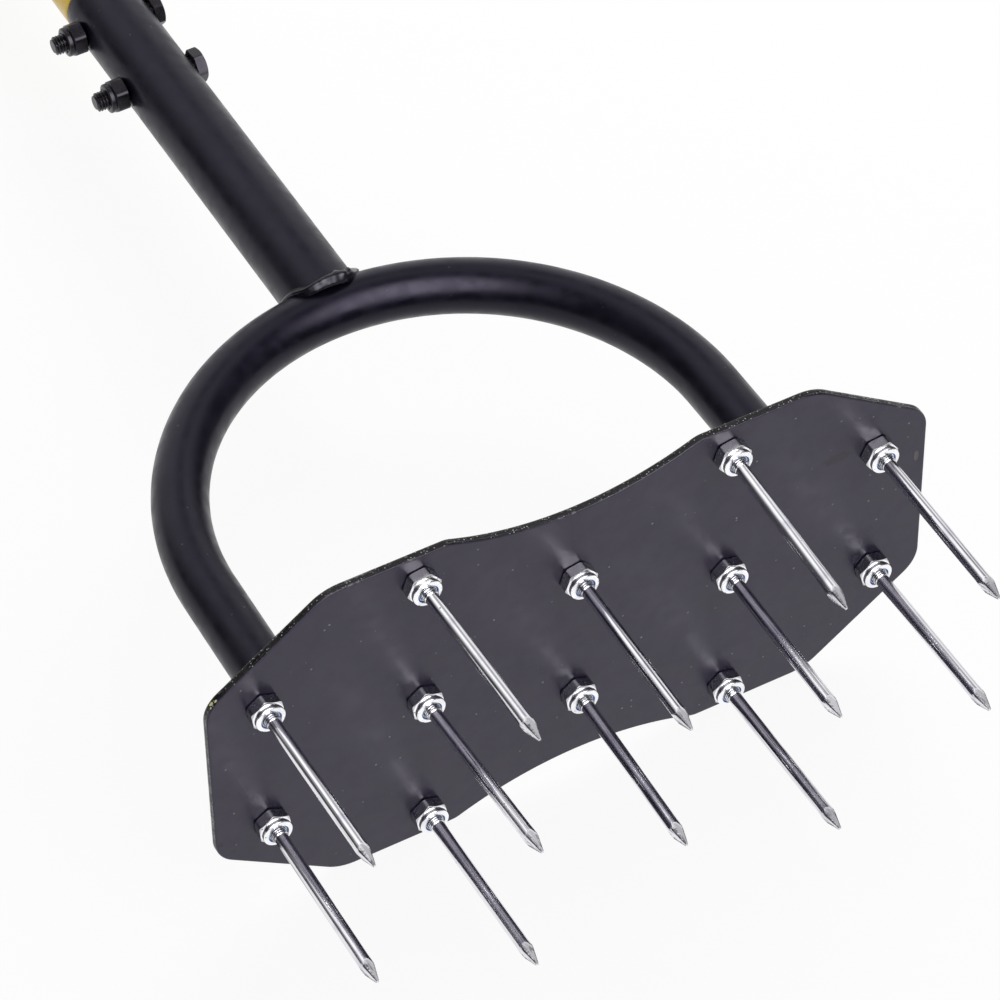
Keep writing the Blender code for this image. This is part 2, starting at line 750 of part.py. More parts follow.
def main():
    clear_scene()
    materials = make_materials()
    parts = make_collection(OBJECT_NAME)
    cutters = make_collection("cutters")
    shop = make_collection("shop")
    build_plate(parts, materials)
    build_spikes(parts, shop, materials)
    build_hoop(parts, materials)
    build_leg_welds(parts, shop, materials)
    drills = bolt_hole_cutters(cutters)
    build_lower_shaft(parts, cutters, drills, materials)
    build_upper_shaft(parts, cutters, drills, materials)
    build_bolts(parts, shop, materials)
    build_handle_bar(parts, materials)
    build_grips(parts, shop, materials)
    for leftover in list(shop.objects):
        bpy.data.objects.remove(leftover, do_unlink=True)
    bpy.data.collections.remove(shop)


main()
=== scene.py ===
"""Looks of a push-in lawn aerator: its visible pieces and finishes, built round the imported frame.

Metres, +Z up. The spike tips stand on the ground at z = 0, and X runs along the plate. Each piece is
made in place, stands for one node of the frame, and rides on the one body. The photograph shows the tool
lying on its side on a white table, from below and to the left, so the camera looks up from under the
floor, and the floor and the table show from their front sides only.
"""

import logging
import math
from collections.abc import Callable, Sequence
from dataclasses import dataclass
from enum import Enum

import bmesh
import bpy
from mathutils import Matrix, Vector


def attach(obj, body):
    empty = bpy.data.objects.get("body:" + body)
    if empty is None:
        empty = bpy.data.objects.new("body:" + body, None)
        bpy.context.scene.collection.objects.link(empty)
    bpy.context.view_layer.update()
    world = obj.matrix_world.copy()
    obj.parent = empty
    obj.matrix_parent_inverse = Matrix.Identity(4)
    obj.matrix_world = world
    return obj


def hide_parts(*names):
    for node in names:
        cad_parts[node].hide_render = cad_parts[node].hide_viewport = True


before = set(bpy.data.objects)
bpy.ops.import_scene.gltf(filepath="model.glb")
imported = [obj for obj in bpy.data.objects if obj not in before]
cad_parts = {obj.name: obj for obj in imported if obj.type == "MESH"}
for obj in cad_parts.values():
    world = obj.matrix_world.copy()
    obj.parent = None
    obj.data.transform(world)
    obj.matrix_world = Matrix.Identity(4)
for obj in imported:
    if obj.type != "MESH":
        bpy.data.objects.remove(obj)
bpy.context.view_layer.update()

LOG = logging.getLogger("lawn_aerator")
BODY = "root"
BOLT_HEIGHTS = {"lower": 0.4293, "upper": 0.4683}
JOINT_ROWS = (0.4760, 0.4605, 0.4370, 0.4215)  # heights of the extra rows round the bolts' holes
HEAD_SLOPE = math.tan(math.radians(28))
HEAD_TOP_SHARE = 0.93  # how much of a head's half width its flat top takes
NUT_SLOPE = math.tan(math.radians(27))
IN_PLACE = Matrix.Identity(4)
HALF_TURN_OVER = Matrix.Rotation(math.pi, 4, "X")
TO_RIGHT = Matrix.Rotation(math.pi / 2, 4, "Y")
TO_LEFT = Matrix.Rotation(-math.pi / 2, 4, "Y")

Colour = tuple[float, float, float]
Profile = list[tuple[float, float, float]]  # radius, height and wear of each point of a half section
ProfileAt = Callable[[float], Profile]
Row = list[bmesh.types.BMVert]
BMesh = bmesh.types.BMesh
Piece = bpy.types.Object
Material = bpy.types.Material
NodeTree = bpy.types.NodeTree
Socket = bpy.types.NodeSocket


class Slot(Enum):
    """The record's material slots."""

    POWDER_COAT = "powder_coat"
    TUBE_PAINT = "tube_paint"
    YELLOW_PAINT = "yellow_paint"
    ZINC_STEEL = "zinc_steel"
    BLACK_STEEL = "black_steel"
    BLUE_NYLON = "blue_nylon"
    RUBBER = "rubber"


class Side(Enum):
    """The two ends of X, with the sign of each."""

    LEFT = -1
    RIGHT = 1


# Mesh helpers


def s_curve(low: float, high: float, value: float) -> float:
    """An even S curve of a value, from 0 at low to 1 at high."""
    share = min(max((value - low) / (high - low), 0.0), 1.0)
    return share * share * (3 - 2 * share)


def ripple(angle: float, seed: float) -> float:
    """An uneven wave from about -1 to 1 that closes on itself round a full turn."""
    waves = ((3, 0.35), (5, 0.25), (8, 0.22), (13, 0.18))
    return sum(size * math.sin(count * angle + seed * (count + 1.7)) for count, size in waves)


def turns(sides: int) -> list[float]:
    """The angles of a full turn in even steps."""
    return [math.tau * side / sides for side in range(sides)]


def unworn(*points: tuple[float, float]) -> Profile:
    """Points of a half section, each with no wear."""
    return [(radius, height, 0.0) for radius, height in points]


def quarter(radius: float, height: float, across: float, rise: float, steps: int = 8) -> Profile:
    """A quarter round from (radius, height + rise) out and down to (radius + across, height)."""
    bends = [math.pi / 2 * step / steps for step in range(steps + 1)]
    return unworn(*((radius + across * math.sin(b), height + rise * math.cos(b)) for b in bends))


def wear_layer(work: BMesh) -> bmesh.types.BMLayerItem:
    """The working mesh's own layer for how worn each vertex is, made on first use."""
    return work.verts.layers.float.get("wear") or work.verts.layers.float.new("wear")


def corner_legs(corners: Sequence[Sequence[float]], index: int) -> tuple[Vector, Vector, Vector]:
    """A corner's place, and the ways from it to the corner before and to the one after."""
    corner, after = Vector(corners[index][:2]), Vector(corners[(index + 1) % len(corners)][:2])
    return corner, Vector(corners[index - 1][:2]) - corner, after - corner


def softened(corners: Profile, steps: int = 3) -> Profile:
    """Rounds the corners of a half section and marks the rounded points as worn.

    Args:
        corners: The radius, height and rounding of each corner. A rounding of 0 leaves it as it is.
        steps: How many straight steps each rounding takes.

    Returns:
        The finer half section, with an unworn point on each side of a worn stretch.
    """
    profile: Profile = []
    for index, (radius, height, rounding) in enumerate(corners):
        if rounding == 0:
            profile.append((radius, height, 0.0))
            continue
        corner, before, after = corner_legs(corners, index)
        setback = rounding * math.tan((math.pi - before.angle(after)) / 2)
        setback = min(setback, 0.45 * before.length, 0.45 * after.length)
        start, end = (corner + leg.normalized() * setback for leg in (before, after))
        shares = ((leg, min(1.5 * setback, 0.48 * leg.length)) for leg in (before, after))
        hems = [corner + leg.normalized() * reach for leg, reach in shares]
        profile.append((*hems[0], 0.0))
        for step in range(steps + 1):
            share = step / steps
            point = start * (1 - share) ** 2 + corner * 2 * share * (1 - share) + end * share**2
            profile.append((*point, 1.0))
        profile.append((*hems[1], 0.0))
    return profile


def skin(work: BMesh, rows: Sequence[Row], closed: bool) -> None:
    """Joins rows of vertices by four-sided faces, each row closed on itself.

    Args:
        work: The mesh to add to.
        rows: The rows, of as many vertices each.
        closed: Whether the last row joins the first one.
    """
    count = len(rows)
    for index in range(count if closed else count - 1):
        row, other = rows[index], rows[(index + 1) % count]
        for place in range(len(row)):
            after = (place + 1) % len(row)
            work.faces.new((row[place], row[after], other[after], other[place]))


def turned(
    work: BMesh, profile_at: ProfileAt, sides: int, closed: bool = True, placing: Matrix = IN_PLACE
) -> None:
    """Adds a turned shape, whose half section may change with the angle.

    Args:
        work: The mesh to add to.
        profile_at: Gives the half section at an angle, with as many points at every angle.
        sides: How many steps a full turn takes.
        closed: Whether the half section's last point joins its first.
        placing: Where the shape goes, from an axis along +Z through the origin.
    """
    wear = wear_layer(work)
    columns = []
    for angle in turns(sides):
        column = []
        for radius, height, worn in profile_at(angle):
            point = Vector((radius * math.cos(angle), radius * math.sin(angle), height))
            column.append(work.verts.new(placing @ point))
            column[-1][wear] = worn
        columns.append(column)
    skin(work, list(zip(*columns)), closed)


def swept(
    work: BMesh,
    line: Sequence[Vector],
    side_at: Callable[[Vector], Vector],
    radius_at: Callable[[float, float], float],
    sides: int,
    closed: bool,
) -> list[Row]:
    """Adds a round section that runs along a line.

    Args:
        work: The mesh to add to.
        line: The points of the centre line.
        side_at: Gives, for a point of the line, a direction about square to the line there.
        radius_at: Gives the radius at a share of the line, from 0 to 1, and at an angle round it.
        sides: How many steps a full turn takes.
        closed: Whether the line's end joins its start.

    Returns:
        The rows of vertices, one for each point of the line.
    """
    wear_layer(work)
    count = len(line)
    rows = []
    for index, centre in enumerate(line):
        before = line[index - 1] if closed or index > 0 else centre
        after = line[(index + 1) % count] if closed or index < count - 1 else centre
        along = (after - before).normalized()
        side = side_at(centre)
        side = (side - along * side.dot(along)).normalized()
        up = along.cross(side)
        row = []
        for angle in turns(sides):
            reach = radius_at(index / count, angle)
            row.append(work.verts.new(centre + (side * math.cos(angle) + up * math.sin(angle)) * reach))
        rows.append(row)
    skin(work, rows, closed)
    return rows


def new_piece(name: str, mesh: bpy.types.Mesh) -> Piece:
    """Links a new object that shows the mesh.

    Args:
        name: The object's name.
        mesh: Its mesh.

    Returns:
        The object.
    """
    piece = bpy.data.objects.new(name, mesh)
    bpy.context.scene.collection.objects.link(piece)
    return piece


def finished(name: str, work: BMesh, crease_degrees: float = 35.0) -> Piece:
    """Closes a working mesh's seams, turns its faces outwards and shades it smooth between creases.

    Args:
        name: The piece's name.
        work: The working mesh, which is freed.
        crease_degrees: The angle from which an edge shows as a crease.

    Returns:
        The piece.
    """
    bmesh.ops.remove_doubles(work, verts=work.verts, dist=2e-7)
    bmesh.ops.recalc_face_normals(work, faces=work.faces)
    mesh = bpy.data.meshes.new(name)
    work.to_mesh(mesh)
    work.free()
    mesh.shade_smooth()
    mesh.set_sharp_from_angle(angle=math.radians(crease_degrees))
    return new_piece(name, mesh)


def turned_piece(
    name: str,
    profile_at: ProfileAt,
    sides: int,
    closed: bool = True,
    placing: Matrix = IN_PLACE,
    crease_degrees: float = 35.0,
) -> Piece:
    """Builds a piece that is one turned shape, from the values that turned and finished take.

    Args:
        name: The piece's name.
        profile_at: Gives the half section at an angle.
        sides: How many steps a full turn takes.
        closed: Whether the half section's last point joins its first.
        placing: Where the shape goes.
        crease_degrees: The angle from which an edge shows as a crease.

    Returns:
        The piece.
    """
    work = bmesh.new()
    turned(work, profile_at, sides, closed, placing)
    return finished(name, work, crease_degrees)


def drill_out(piece: Piece, drills: Sequence[Piece]) -> None:
    """Cuts drills out of a piece's mesh for good.

    Args:
        piece: The piece that gets the holes.
        drills: The objects that are cut away.
    """
    for drill in drills:
        cut = piece.modifiers.new(drill.name, "BOOLEAN")
        cut.operation, cut.solver, cut.object = "DIFFERENCE", "EXACT", drill
    bpy.context.view_layer.update()
    graph = bpy.context.evaluated_depsgraph_get()
    mesh = bpy.data.meshes.new_from_object(piece.evaluated_get(graph))
    piece.modifiers.clear()
    piece.data = mesh


# Shader nodes


class Tree:
    """A node tree that is filled in by short calls."""

    def __init__(self, tree: NodeTree) -> None:
        """Keeps the tree to fill in."""
        self.tree = tree

    def fill(self, node: bpy.types.Node, inputs: dict) -> None:
        """Links or sets a node's inputs.

        Args:
            node: The node.
            inputs: A socket to link or a plain value for each named or numbered input.
        """
        for name, value in inputs.items():
            if isinstance(value, Socket):
                self.tree.links.new(value, node.inputs[name])
            else:
                node.inputs[name].default_value = value

    def add(self, kind: str, inputs: dict | None = None, **settings: object) -> bpy.types.Node:
        """Adds a node.

        Args:
            kind: The node's type without its prefix, such as TexNoise.
            inputs: A socket or a plain value for each named or numbered input.
            settings: The node's own properties.

        Returns:
            The new node.
        """
        node = self.tree.nodes.new("ShaderNode" + kind)
        for name, value in settings.items():
            setattr(node, name, value)
        self.fill(node, inputs or {})
        return node

    def calc(self, operation: str, *values: object) -> Socket:
        """One step of arithmetic on up to three values."""
        return self.add("Math", dict(enumerate(values)), operation=operation).outputs[0]

    def vector(self, operation: str, *values: object) -> bpy.types.NodeOutputs:
        """The outputs of one step of arithmetic on vectors."""
        return self.add("VectorMath", dict(enumerate(values)), operation=operation).outputs

    def between(
        self, value: object, low: object, high: object, start: object = 0.0, end: object = 1.0
    ) -> Socket:
        """A smooth climb from start, at low, to end, at high."""
        inputs = {"Value": value, "From Min": low, "From Max": high, "To Min": start, "To Max": end}
        return self.add("MapRange", inputs, interpolation_type="SMOOTHSTEP").outputs[0]

    def mix(self, share: object, first: object, second: object) -> Socket:
        """A colour between two, plain colours being given as three numbers."""
        first, second = ((*c, 1.0) if isinstance(c, tuple) else c for c in (first, second))
        return self.add("Mix", {0: share, 6: first, 7: second}, data_type="RGBA").outputs[2]

    def noise(self, vector: object, scale: object, detail: float = 2.0) -> Socket:
        """A noise value of about 0.5 that changes over the surface."""
        return self.add("TexNoise", {"Vector": vector, "Scale": scale, "Detail": detail}).outputs[0]


class Group(Tree):
    """A node group in the making, which works on a vector and puts out one value."""

    def __init__(self, name: str, output: str, **inputs: float | Colour) -> None:
        """Starts the group.

        Args:
            name: The group's name.
            output: The output's name.
            inputs: The default of each input after the vector, three numbers for another vector.
        """
        super().__init__(bpy.data.node_groups.new(name, "ShaderNodeTree"))
        interface = self.tree.interface
        for label, default in {"Vector": (0.0, 0.0, 0.0), **inputs}.items():
            kind = "NodeSocketVector" if isinstance(default, tuple) else "NodeSocketFloat"
            interface.new_socket(name=label, in_out="INPUT", socket_type=kind).default_value = default
        interface.new_socket(name=output, in_out="OUTPUT", socket_type="NodeSocketFloat")
        self.given = self.tree.nodes.new("NodeGroupInput").outputs
        self.place = self.given["Vector"]

    def put_out(self, value: Socket) -> NodeTree:
        """Ends the group with its value and returns it."""
        self.fill(self.tree.nodes.new("NodeGroupOutput"), {0: value})
        return self.tree


class Effects:
    """The node groups that more than one finish uses, each built once."""

    def __init__(self) -> None:
        """Builds every group."""
        self.grain = self.build_grain()
        self.specks = self.build_specks()
        self.mottle = self.build_mottle()
        self.streaks = self.build_streaks()
        self.chips = self.build_chips()
        self.spot = self.build_spot()

    def build_grain(self) -> NodeTree:
        """The height of a fine peel or grain over a slower unevenness.

        Returns:
            The group.
        """
        group = Group("grain", "Height", Scale=500.0)
        fine = group.noise(group.place, group.given["Scale"], 3.0)
        slow = group.noise(group.place, group.calc("MULTIPLY", group.given["Scale"], 0.27), 2.0)
        return group.put_out(group.calc("MULTIPLY_ADD", fine, 0.6, group.calc("MULTIPLY", slow, 0.4)))

    def build_specks(self) -> NodeTree:
        """A mask of small dots, of which only a share of the cells has one.

        Returns:
            The group.
        """
        group = Group("specks", "Mask", Scale=300.0, Size=0.2, Share=0.1)
        cells = group.add("TexVoronoi", {"Vector": group.place, "Scale": group.given["Scale"]}).outputs
        size = group.given["Size"]
        near = group.between(cells["Distance"], group.calc("MULTIPLY", size, 0.5), size, 1.0, 0.0)
        parts = group.add("SeparateColor", {0: cells["Color"]}).outputs
        chosen = group.calc("LESS_THAN", parts[0], group.given["Share"])
        return group.put_out(group.calc("MULTIPLY", near, group.calc("MULTIPLY", chosen, parts[1])))

    def build_mottle(self) -> NodeTree:
        """A cloudy value from 0 to 1.

        Returns:
            The group.
        """
        group = Group("mottle", "Value", Scale=30.0, Low=0.4, High=0.6)
        cloud = group.noise(group.place, group.given["Scale"], 4.0)
        return group.put_out(group.between(cloud, group.given["Low"], group.given["High"]))

    def build_streaks(self) -> NodeTree:
        """Fine lines along one axis, set by how far each axis is squeezed.

        Returns:
            The group.
        """
        group = Group("streaks", "Value", Squeeze=(1.0, 1.0, 0.03), Scale=900.0)
        squeezed = group.vector("MULTIPLY", group.place, group.given["Squeeze"])[0]
        return group.put_out(group.noise(squeezed, group.given["Scale"], 3.0))

    def build_chips(self) -> NodeTree:
        """A ragged mask along the edges that the mesh marks as worn.

        Returns:
            The group.
        """
        group = Group("chips", "Mask", Wear=0.0, Scale=350.0, Amount=0.5)
        fine = group.noise(group.place, group.given["Scale"], 4.0)
        slow = group.noise(group.place, group.calc("MULTIPLY", group.given["Scale"], 0.12), 2.0)
        ragged = group.calc("MULTIPLY_ADD", slow, 0.5, group.calc("MULTIPLY", fine, 0.5))
        edge = group.calc("SUBTRACT", 1.0, group.given["Amount"])
        mask = group.between(ragged, edge, group.calc("ADD", edge, 0.06))
        return group.put_out(group.calc("MULTIPLY", mask, group.given["Wear"]))

    def build_spot(self) -> NodeTree:
        """A mask round one place, with a ragged edge.

        Returns:
            The group.
        """
        reach = (0.001, 0.001, 0.001)
        group = Group("spot", "Mask", Centre=(0.0, 0.0, 0.0), Reach=reach, Ragged=0.5)
        offset = group.vector("SUBTRACT", group.place, group.given["Centre"])[0]
        length = group.vector("LENGTH", group.vector("DIVIDE", offset, group.given["Reach"])[0])
        wander = group.calc("SUBTRACT", group.noise(group.place, 900.0, 4.0), 0.5)
        far = group.calc("MULTIPLY_ADD", wander, group.given["Ragged"], length["Value"])
        return group.put_out(group.between(far, 0.75, 1.0, 1.0, 0.0))


# Finishes


class Surface(Tree):
    """A material in the making, with its own coordinates and the wear that its mesh marks."""

    def __init__(self, name: str) -> None:
        """Starts the material.

        Args:
            name: The material's name.
        """
        self.material = bpy.data.materials.new(name)
        self.material.use_nodes = True
        super().__init__(self.material.node_tree)
        self.shader = self.tree.nodes["Principled BSDF"]
        self.place = self.add("TexCoord").outputs["Object"]
        self.worn = self.add("Attribute", attribute_name="wear").outputs["Fac"]

    def effect(self, group: NodeTree, **inputs: object) -> Socket:
        """Places an effect on the surface.

        Args:
            group: The effect's node group.
            inputs: Its inputs apart from the vector.

        Returns:
            Its output.
        """
        node = self.add("Group", node_tree=group)
        self.fill(node, {"Vector": self.place, **inputs})
        return node.outputs[0]

    def finish(self, relief: object, depth: float, **inputs: object) -> Material:
        """Gives the shader its inputs.

        Args:
            relief: The surface's height.
            depth: How much one unit of that height stands for.
            inputs: The shader's other inputs, with _ for a space.

        Returns:
            The material.
        """
        bump = self.add("Bump", {"Height": relief, "Strength": 1.0, "Distance": depth})
        self.fill(self.shader, {name.replace("_", " "): value for name, value in inputs.items()})
        self.fill(self.shader, {"Normal": bump.outputs[0]})
        return self.material


@dataclass(frozen=True)
class Mark:
    """One chip, smudge or fleck on a coat: where it is, how far it reaches and its colour."""

    centre: Colour
    reach: Colour
    colour: Colour
    ragged: float = 0.6


@dataclass(frozen=True)
class CoatFinish:
    """A coat of paint or powder, with its peel, specks, worn edges and single marks."""

    name: str
    colour: Colour
    cloud_colour: Colour
    speck_colour: Colour
    bare_colour: Colour
    roughness: float
    roughness_spread: float = 0.06
    peel_scale: float = 700.0
    peel_depth: float = 0.00003
    speck_share: float = 0.04
    speck_scale: float = 500.0
    wear: float = 0.4
    shine: float = 0.5
    shine_tint: Colour = (1.0, 1.0, 1.0)
    clear_coat: float = 0.0
    marks: tuple[Mark, ...] = ()

    def material(self, effects: Effects) -> Material:
        """Builds the finish.

        Args:
            effects: The shared node groups.

        Returns:
            The material.
        """
        coat = Surface(self.name)
        cloud = coat.effect(effects.mottle, Scale=45.0, Low=0.35, High=0.65)
        colour = coat.mix(cloud, self.colour, self.cloud_colour)
        dots = coat.effect(effects.specks, Scale=self.speck_scale, Size=0.28, Share=self.speck_share)
        colour = coat.mix(dots, colour, self.speck_colour)
        chips = coat.effect(effects.chips, Wear=coat.worn, Amount=self.wear)
        colour = coat.mix(chips, colour, self.bare_colour)
        for mark in self.marks:
            spot = coat.effect(effects.spot, Centre=mark.centre, Reach=mark.reach, Ragged=mark.ragged)
            colour = coat.mix(spot, colour, mark.colour)
        clouded = coat.effect(effects.mottle, Scale=160.0, Low=0.3, High=0.7)
        low, high = self.roughness - self.roughness_spread, self.roughness + self.roughness_spread
        rough = coat.calc("MULTIPLY_ADD", chips, 0.15, coat.between(clouded, 0.0, 1.0, low, high))
        peel = coat.effect(effects.grain, Scale=self.peel_scale)
        relief = coat.calc("SUBTRACT", peel, coat.calc("MULTIPLY", chips, 0.8))
        return coat.finish(
            relief,
            self.peel_depth,
            Base_Color=colour,
            Roughness=rough,
            Specular_IOR_Level=self.shine,
            Specular_Tint=(*self.shine_tint, 1.0),
            Coat_Weight=self.clear_coat,
            Coat_Roughness=0.08,
        )


@dataclass(frozen=True)
class PlatedFinish:
    """Bright plated steel, with drawn streaks, stains, dark pits, pale flecks, sheared points, and painted
    shade in a band over a given height and in thread roots.
    """

    name: str
    colour: Colour
    stain_colour: Colour
    pit_and_shade_colour: Colour
    roughness: float
    roughness_spread: float
    squeeze: Colour = (1.0, 1.0, 0.03)
    streak_scale: float = 1500.0
    streak_depth: float = 0.000006
    pit_share: float = 0.06
    pit_scale: float = 900.0
    line_share: float = 0.0
    dark_ridge_and_root_share: float = 0.0
    # How dark the most worn points go: dark lines on edges and ridges, and painted shade in thread roots.
    fleck_share: float = 0.05
    fleck_scale: float = 1300.0
    # Pale flecks go only above the first height, and the share paints that band darker: painted shade.
    band_from: float = -1.0
    painted_shade_share: float = 0.0
    wear: float = 0.45
    tear_height: float = 4.0

    def material(self, effects: Effects) -> Material:
        """Builds the finish.

        Args:
            effects: The shared node groups.

        Returns:
            The material.
        """
        plating = Surface(self.name)
        lines = plating.effect(effects.streaks, Squeeze=self.squeeze, Scale=self.streak_scale)
        stains = plating.effect(effects.mottle, Scale=110.0, Low=0.5, High=0.72)
        colour = plating.mix(stains, self.colour, self.stain_colour)
        pits = plating.effect(effects.specks, Scale=self.pit_scale, Size=0.35, Share=self.pit_share)
        chips = plating.effect(effects.chips, Wear=plating.worn, Scale=900.0, Amount=self.wear)
        dark = plating.calc("MAXIMUM", pits, plating.calc("MULTIPLY", chips, 0.7))
        drawn = plating.between(lines, 0.36, 0.44, self.line_share, 0.0)
        # Where the mesh marks the most wear the colour goes dark: lines along the spike head's rounded
        # edges and its point's ridges, and painted shade in its thread roots.
        ridges = plating.between(plating.worn, 0.70, 0.95, 0.0, self.dark_ridge_and_root_share)
        # Above the given height the colour is darkened towards the dark colour. On a lock nut that band is
        # the flank next to the plate, and the darkening is painted shade for the shaded plate that the
        # flank mirrors. Pale flecks go only there too.
        height = plating.add("SeparateXYZ", {0: plating.place}).outputs["Z"]
        in_band = plating.calc("GREATER_THAN", height, self.band_from)
        painted_shade = plating.calc("MULTIPLY", in_band, self.painted_shade_share)
        for share in (dark, plating.calc("MAXIMUM", drawn, ridges), painted_shade):
            colour = plating.mix(share, colour, self.pit_and_shade_colour)
        flecks = plating.effect(effects.specks, Scale=self.fleck_scale, Size=0.3, Share=self.fleck_share)
        metal = plating.calc("MULTIPLY_ADD", plating.calc("MULTIPLY", flecks, in_band), -0.9, 1.0)
        low, high = self.roughness - self.roughness_spread, self.roughness + self.roughness_spread
        rough = plating.calc("MULTIPLY_ADD", dark, 0.25, plating.between(lines, 0.3, 0.7, low, high))
        tears = plating.effect(effects.streaks, Squeeze=(0.35, 0.35, 1.0), Scale=1300.0)
        torn = plating.calc("MULTIPLY", plating.worn, self.tear_height)
        relief = plating.calc("SUBTRACT", lines, plating.calc("MULTIPLY", pits, 0.5))
        relief = plating.calc("ADD", relief, plating.calc("MULTIPLY", tears, torn))
        return plating.finish(relief, self.streak_depth, Base_Color=colour, Roughness=rough, Metallic=metal)


@dataclass(frozen=True)
class MouldedFinish:
    """A moulded plastic or rubber, with its fine grain, a slightly uneven sheen, and a painted highlight
    where its mesh marks wear.
    """

    name: str
    colour: Colour
    cloud_colour: Colour
    roughness: float
    grain_scale: float
    grain_depth: float
    painted_highlight_colour: Colour = (0.5, 0.5, 0.5)
    scattering: float = 0.0

    def material(self, effects: Effects) -> Material:
        """Builds the finish.

        Args:
            effects: The shared node groups.

        Returns:
            The material.
        """
        mould = Surface(self.name)
        cloud = mould.effect(effects.mottle, Scale=70.0, Low=0.35, High=0.65)
        # Where the mesh marks wear the colour turns pale: a painted highlight, such as the nylon ring's
        # inner part.
        colour = mould.mix(mould.worn, mould.mix(cloud, self.colour, self.cloud_colour), self.painted_highlight_colour)
        rough = mould.between(cloud, 0.0, 1.0, self.roughness - 0.05, self.roughness + 0.05)
        relief = mould.effect(effects.grain, Scale=self.grain_scale)
        depths = {}
        if self.scattering:
            depths = {"Subsurface_Weight": self.scattering, "Subsurface_Scale": 0.001}
            depths["Subsurface_Radius"] = (0.4, 0.6, 1.0)
        return mould.finish(relief, self.grain_depth, Base_Color=colour, Roughness=rough, **depths)


UNDERSIDE_MARKS = (
    Mark((-0.1483, 0.0338, 0.0844), (0.0013, 0.0017, 0.001), (0.004, 0.004, 0.005)),
    Mark((-0.1434, 0.0402, 0.0844), (0.0015, 0.0010, 0.001), (0.004, 0.004, 0.005)),
    Mark((0.1110, -0.0357, 0.0844), (0.0070, 0.0026, 0.001), (0.003, 0.002, 0.006), 1.6),
    Mark((0.1463, -0.0189, 0.0844), (0.0011, 0.0032, 0.001), (0.09, 0.085, 0.09)),
)
EDGE_MARKS = (
    Mark((-0.1471, -0.0425, 0.0861), (0.0009, 0.0011, 0.0007), (0.72, 0.72, 0.36), 1.8),
    Mark((-0.1457, -0.0441, 0.0853), (0.0008, 0.0009, 0.0006), (0.74, 0.73, 0.40), 1.8),
    Mark((-0.1476, -0.0414, 0.0852), (0.0005, 0.0006, 0.0005), (0.60, 0.60, 0.30), 1.8),
)
PLATE = CoatFinish(
    "plate_coat", colour=(0.0110, 0.0082, 0.023), cloud_colour=(0.0145, 0.0110, 0.028),
    speck_colour=(0.26, 0.25, 0.28), bare_colour=(0.20, 0.19, 0.22), roughness=0.34,
    peel_scale=1500.0, peel_depth=0.000018, speck_share=0.03, wear=0.42, shine=0.49,
    shine_tint=(0.92, 0.85, 1.0), marks=UNDERSIDE_MARKS + EDGE_MARKS,
)
PLATE_EDGE = CoatFinish(
    "plate_edge_coat", colour=(0.0020, 0.0018, 0.0026), cloud_colour=(0.0060, 0.0050, 0.0064),
    speck_colour=(0.62, 0.61, 0.61), bare_colour=(0.24, 0.23, 0.24), roughness=0.36,
    roughness_spread=0.15, peel_scale=900.0, peel_depth=0.00040, speck_share=0.95,
    speck_scale=900.0, wear=0.44, shine=0.38, marks=EDGE_MARKS,
)
TUBE = CoatFinish(
    "tube_paint_satin", colour=(0.0040, 0.0034, 0.0080), cloud_colour=(0.0058, 0.0050, 0.0105),
    speck_colour=(0.05, 0.05, 0.06), bare_colour=(0.10, 0.10, 0.11), roughness=0.34,
    peel_scale=420.0, speck_share=0.02, wear=0.42, shine=0.29, shine_tint=(0.84, 0.77, 1.0),
)
BEAD = CoatFinish(
    "bead_paint_gloss", colour=(0.0060, 0.0056, 0.0090), cloud_colour=(0.0100, 0.0095, 0.0135),
    speck_colour=(0.08, 0.08, 0.09), bare_colour=(0.10, 0.10, 0.11), roughness=0.24,
    peel_scale=240.0, peel_depth=0.00013, speck_share=0.05, shine=0.45,
    shine_tint=(0.90, 0.86, 1.0),
)
YELLOW = CoatFinish(
    "yellow_paint_satin", colour=(0.80, 0.53, 0.030), cloud_colour=(0.76, 0.49, 0.026),
    speck_colour=(0.40, 0.26, 0.03), bare_colour=(0.22, 0.21, 0.20), roughness=0.32,
    peel_scale=420.0, speck_share=0.015, clear_coat=0.2,
)
BLACK = CoatFinish(
    "black_plating", colour=(0.0035, 0.0035, 0.0040), cloud_colour=(0.0060, 0.0058, 0.0066),
    speck_colour=(0.10, 0.09, 0.11), bare_colour=(0.12, 0.12, 0.13), roughness=0.30,
    peel_scale=1500.0, peel_depth=0.000012, speck_scale=900.0, shine=0.40,
    shine_tint=(0.90, 0.82, 1.0),
)
# Its ridge share also paints the thread roots dark: painted shade.
SPIKE = PlatedFinish(
    "spike_plating", colour=(0.79, 0.79, 0.83), stain_colour=(0.64, 0.63, 0.70),
    pit_and_shade_colour=(0.045, 0.045, 0.055), roughness=0.15, roughness_spread=0.06,
    squeeze=(1.0, 1.0, 0.008), streak_scale=950.0, streak_depth=0.000022, line_share=0.55,
    dark_ridge_and_root_share=0.92, pit_share=0.02, fleck_share=0.02, wear=0.55, tear_height=14.0,
)
# Each lock nut's flanks next to the plate, from 0.0797 up, get painted shade for the shaded plate they
# mirror, and pale flecks.
NUT = PlatedFinish(
    "nut_plating", colour=(0.95, 0.95, 0.97), stain_colour=(0.80, 0.80, 0.83),
    pit_and_shade_colour=(0.05, 0.05, 0.06), roughness=0.20, roughness_spread=0.07,
    squeeze=(1.0, 1.0, 0.5), streak_scale=700.0, pit_share=0.07, fleck_share=0.34,
    fleck_scale=1500.0, band_from=0.0797, painted_shade_share=0.45,
)
